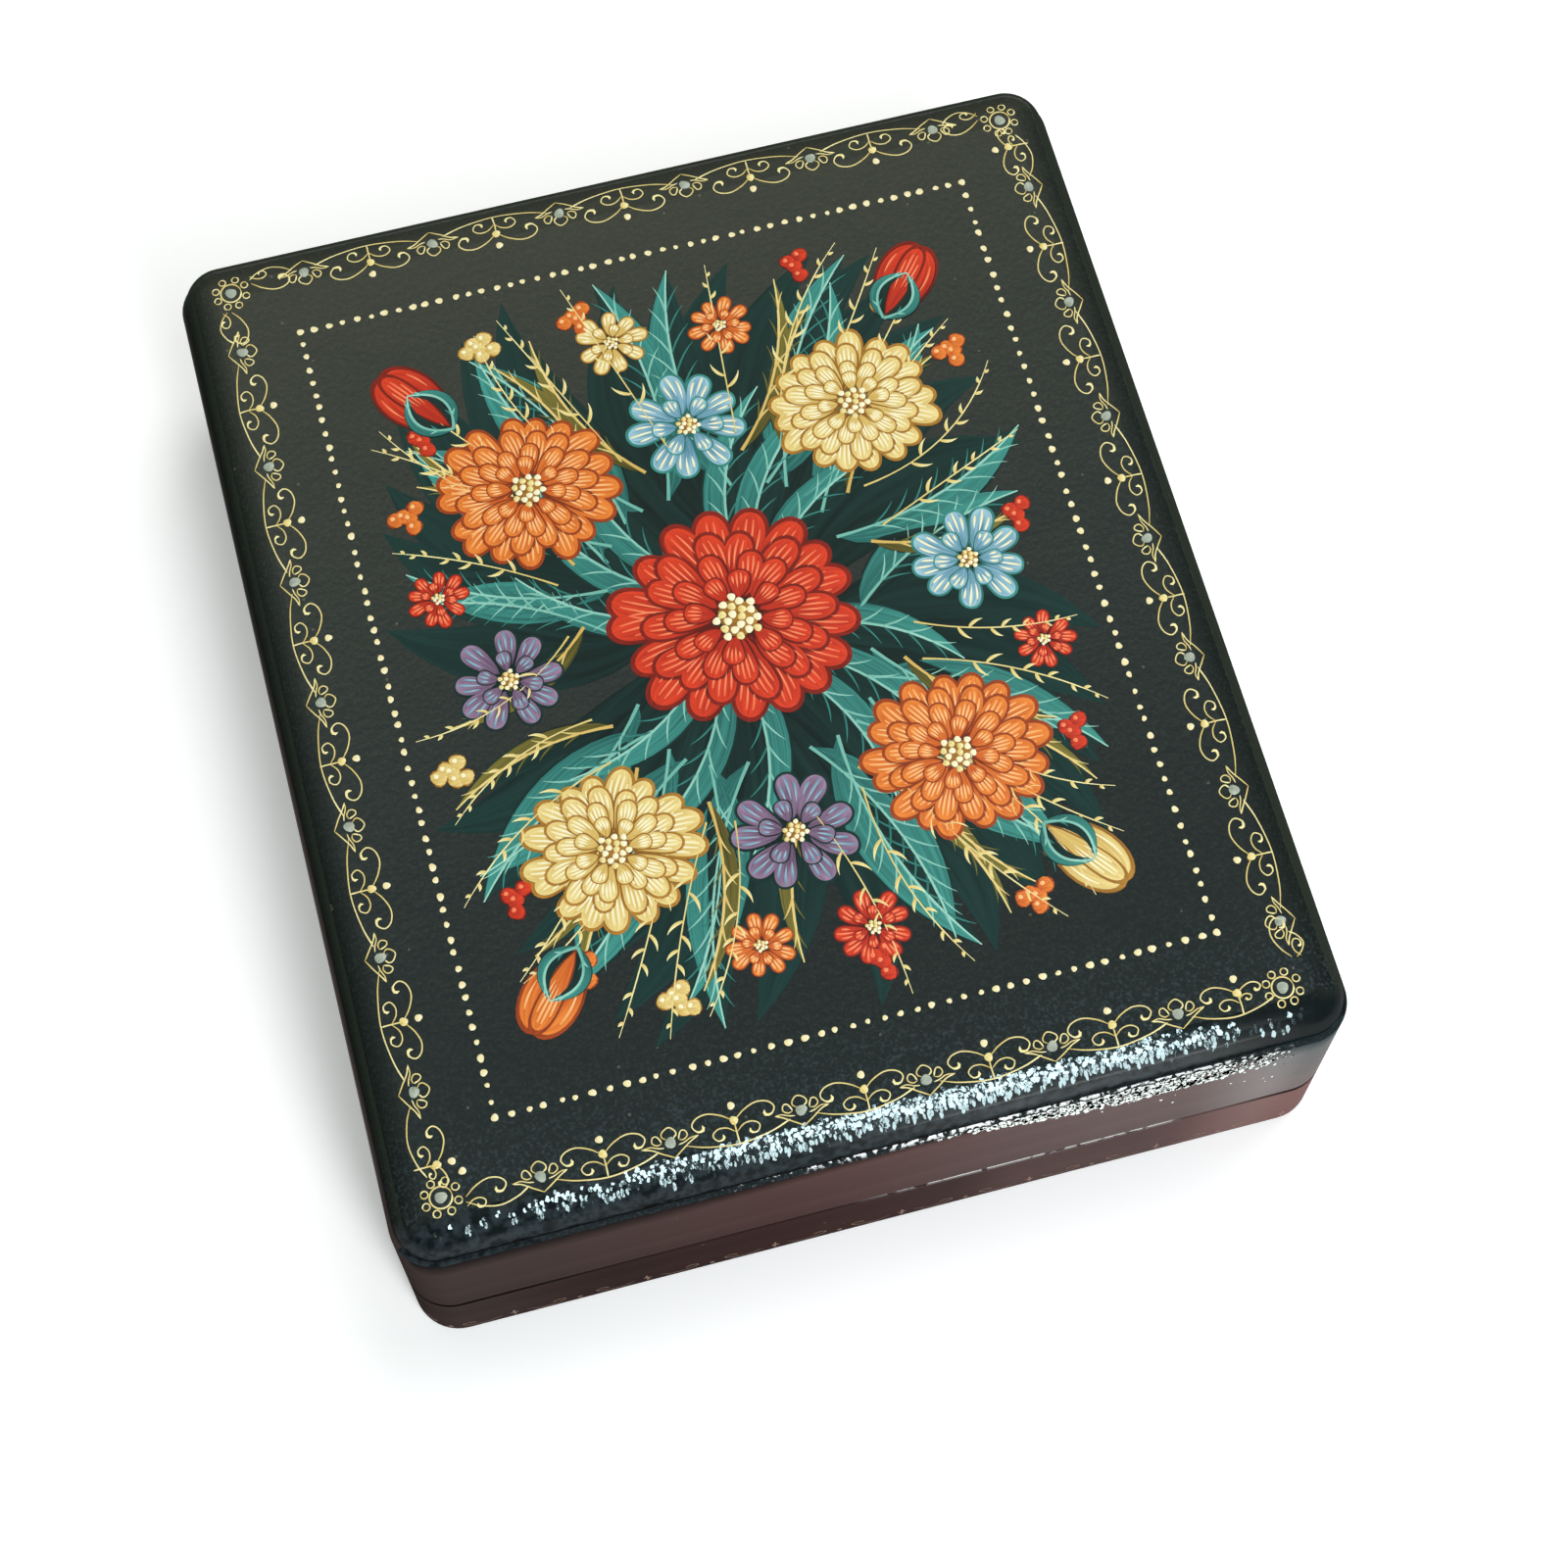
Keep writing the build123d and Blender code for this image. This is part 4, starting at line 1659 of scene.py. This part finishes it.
def dress_board():
    """Red underneath, rubbed at the edge, worn in steps, glossy on top."""
    worn = [black_lacquer(f"worn black lacquer {step + 1}", gloss) for step, gloss in enumerate(WEAR)]
    dress(lid_board, BLACK, RUBBED_WITH_PAINTED_SHEEN, RED_INSIDE, *worn)
    x, y, z = BOARD_RINGS[0].T
    wide, narrow = WIDENING
    more_at_back = MORE_AT_BACK * ease(y, HALF_DEPTH - wide, HALF_DEPTH - narrow)
    more_at_right = MORE_AT_RIGHT * ease(x, HALF_WIDTH - wide, HALF_WIDTH - narrow)
    rubbed_rings = RUBBED_AT_LEFT + np.round(np.maximum(more_at_back, more_at_right)).astype(int)
    at_front = y < 3 - HALF_DEPTH
    rubbed_rings[at_front] = RUBBED_AT_FRONT
    lid_board.data.polygons[0].material_index = 2
    for polygon in lid_board.data.polygons[1:-1]:
        level, column = divmod(polygon.index - 1, len(x))
        wear_step = int(level - rubbed_rings[column]) // RINGS_PER_STEP
        if wear_step < 0:
            polygon.material_index = 1
        elif not at_front[column] and wear_step < len(WEAR):
            polygon.material_index = 3 + wear_step


for name, lacquer in LACQUER_OF_NODE.items():
    dress(nodes[name], lacquer)
dress(flakes_on_roll, FLAKED)
dress(flakes_on_wall, LEANING)
dress_shoulder()
dress_board()
print("lacquers on the board", [material.name for material in lid_board.data.materials])

# %% [markdown]
# ## Paints
# Each paint goes from a deep to a light tone: along the stroke as the brush empties, and between streaks.
# All of them lie under the same thin lacquer as the ground, so they share its ripple and its gloss.

# %% Paint materials
PAINT_TONES = {
    "gold_line": ("#d4b456", "#fff4b8"),
    "cream_dot": ("#e8d494", "#fff5d0"),
    "silver_dot": ("#868c80", "#bcc4b4"),
    "bronze_line": ("#4c2c1c", "#8a5c34"),
    "teal_shadow": ("#081a19", "#133633"),
    "teal_leaf": ("#1a524e", "#3f968c"),
    "teal_light": ("#5aa598", "#a8dac8"),
    "red_shadow": ("#4c0e08", "#8e1f14"),
    "red_petal": ("#a01d10", "#e2401f"),
    "red_light": ("#ea5a36", "#ffa070"),
    "orange_shadow": ("#6a260c", "#a8451a"),
    "orange_petal": ("#bf4e18", "#f08a36"),
    "orange_light": ("#f29a4c", "#ffd8a0"),
    "ochre_petal": ("#7a4c12", "#b98230"),
    "cream_petal": ("#c9a048", "#f2dc94"),
    "cream_light": ("#f2e2a8", "#fffbe4"),
    "olive_leaf": ("#3c3612", "#857a34"),
    "blue_petal": ("#4a7f98", "#a8d0de"),
    "plum_petal": ("#56405a", "#a083a0"),
}
METAL_ROUGHNESS = {"gold_line": 0.3, "cream_dot": 0.35, "silver_dot": 0.35, "bronze_line": 0.4}
PAINT_ROUGHNESS = 0.25


def paint_material(name):
    """Paint under lacquer, streaked along its strokes."""
    material, tree, put = new_material(name.replace("_", " ") + " paint")
    deep, light = PAINT_TONES[name]
    mark = place_group(tree, BRUSH_MARK)
    streak = scaled(tree, mark["Streak"], 1.5, -0.6)
    tone = math_node(tree, "MULTIPLY_ADD", mark["Along"], 0.7, streak, clamp=True)
    tree.links.new(mix_colour(tree, tone, colour(deep), colour(light)), put["Base Color"])
    ripple = place_group(tree, LACQUER_RIPPLE, Peel_per_metre=1300.0)
    tree.links.new(ripple["Normal"], put["Normal"])
    roughness = METAL_ROUGHNESS.get(name, PAINT_ROUGHNESS)
    tree.links.new(scaled(tree, mark["Streak"], 0.15, roughness), put["Roughness"])
    return material


for name, piece in painted.items():
    dress(piece, paint_material(name))
print("paints", len(painted))

# %% [markdown]
# ## The studio
# The box lies on a pale floor. A soft key lamp above it, behind and to the right, lays its shadow to the
# front and left; it is kept out of the reflections. A tall strip in front draws the long highlight on the
# roll, and a low one lights the shoulder and the wall under it. The surroundings are lighter behind the box,
# which gives the flat top its grey sheen, fading towards the front.
# The floor adds a little light of its own where the camera and reflections see it, so it reads as white.

# %% Floor
FLOOR_REACH = 40.0
FLOOR_GLOW = 0.33
FLOOR_COLOUR = (0.86, 0.843, 0.842, 1)


def floor_material():
    """Pale paper with a little light of its own for rays that are seen."""
    material = bpy.data.materials.new("pale floor")
    material.use_nodes = True
    tree = material.node_tree
    tree.nodes.clear()
    paper = tree.nodes.new("ShaderNodeBsdfDiffuse")
    paper.inputs["Color"].default_value = FLOOR_COLOUR
    glow = tree.nodes.new("ShaderNodeEmission")
    rays = tree.nodes.new("ShaderNodeLightPath")
    seen = math_node(tree, "ADD", rays.outputs["Is Camera Ray"], rays.outputs["Is Glossy Ray"])
    seen = math_node(tree, "ADD", seen, rays.outputs["Is Transmission Ray"], clamp=True)
    tree.links.new(times(tree, seen, FLOOR_GLOW), glow.inputs["Strength"])
    both = tree.nodes.new("ShaderNodeAddShader")
    tree.links.new(paper.outputs[0], both.inputs[0])
    tree.links.new(glow.outputs[0], both.inputs[1])
    output = tree.nodes.new("ShaderNodeOutputMaterial")
    tree.links.new(both.outputs[0], output.inputs["Surface"])
    return material


def studio_floor():
    """A wide pale floor that keeps the shadow of the box."""
    corners = np.array([(-1, -1, 0), (1, -1, 0), (1, 1, 0), (-1, 1, 0)]) * FLOOR_REACH / MM
    floor = new_piece("studio_floor", corners, [(0, 1, 2, 3)])
    dress(floor, floor_material())
    floor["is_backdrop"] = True


studio_floor()
print("floor reaches", FLOOR_REACH, "m each way")

# %% Lamps and world
FRONT_ROLL = (0.01, -0.06, 0.03)
LID_MIDDLE = (0.0, 0.0, 0.03)


def soft_lamp(name, place, aim, size_x, size_y, power, tint=(1, 1, 1)):
    """A rectangular soft lamp that looks at a point."""
    lamp = bpy.data.lights.new(name, "AREA")
    lamp.shape = "RECTANGLE"
    lamp.size = size_x
    lamp.size_y = size_y
    lamp.energy = power
    lamp.color = tint
    holder = bpy.data.objects.new(name, lamp)
    bpy.context.scene.collection.objects.link(holder)
    holder.location = place
    towards = Vector(aim) - Vector(place)
    holder.rotation_euler = towards.to_track_quat("-Z", "Y").to_euler()
    return holder


def studio_world():
    """Dim surroundings that are lighter towards the wall behind the box."""
    world = bpy.data.worlds.new("studio")
    world.use_nodes = True
    tree = world.node_tree
    x, y, z = parts_of(tree, tree.nodes.new("ShaderNodeTexCoord").outputs["Generated"])
    back = smooth_step(tree, y, 0.24, 0.62)
    put = tree.nodes["Background"].inputs
    tree.links.new(mix_colour(tree, back, colour("#d8f0f8"), colour("#f8fbda")), put["Color"])
    tree.links.new(scaled(tree, back, 0.33, 0.18), put["Strength"])
    bpy.context.scene.world = world


key_lamp = soft_lamp("key lamp", (0.27, 0.18, 0.92), LID_MIDDLE, 0.45, 0.45, 3.8)
key_lamp.visible_glossy = False
soft_lamp("front strip", (0.14, -0.62, 0.92), FRONT_ROLL, 0.2, 0.8, 6.6, (0.94, 0.985, 1.0))
soft_lamp("low strip", (0.17, -1.00, 0.34), FRONT_ROLL, 0.2, 0.6, 3.3, (0.97, 1.0, 0.99))
studio_world()
bpy.context.scene.view_settings.view_transform = "Standard"
print("lamps", [light.name for light in bpy.data.lights])

# %% [markdown]
# ## The camera
# The picture was taken from above and a little to the left, with a lens of moderate length.
# The place and the turn were found by fitting the outline of the box, so no shift of the lens is needed.

# %% Camera
CAMERA_PLACE = (-0.03674, -0.15364, 0.37353)
CAMERA_TURN = (22.189, -0.196, -14.876)
CAMERA_LENS = 75.1
camera_data = bpy.data.cameras.new("camera")
camera_data.sensor_width = 36.0
camera_data.lens = CAMERA_LENS
camera = bpy.data.objects.new("camera", camera_data)
bpy.context.scene.collection.objects.link(camera)
camera.location = CAMERA_PLACE
camera.rotation_euler = [math.radians(turn) for turn in CAMERA_TURN]
bpy.context.scene.camera = camera
print("camera lens", CAMERA_LENS, "mm")

# %% [markdown]
# ## Both boxes, and the finish
# Paint and board must not make the object larger than its solids, so both boxes are shown here.

# %% Size and finish
DRESSED_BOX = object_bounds()
boxes = {"cad": CAD_BOX, "visual": DRESSED_BOX}
{name: [list(corner) for corner in box] for name, box in boxes.items()}
print("dressed box", box_in_mm(DRESSED_BOX))
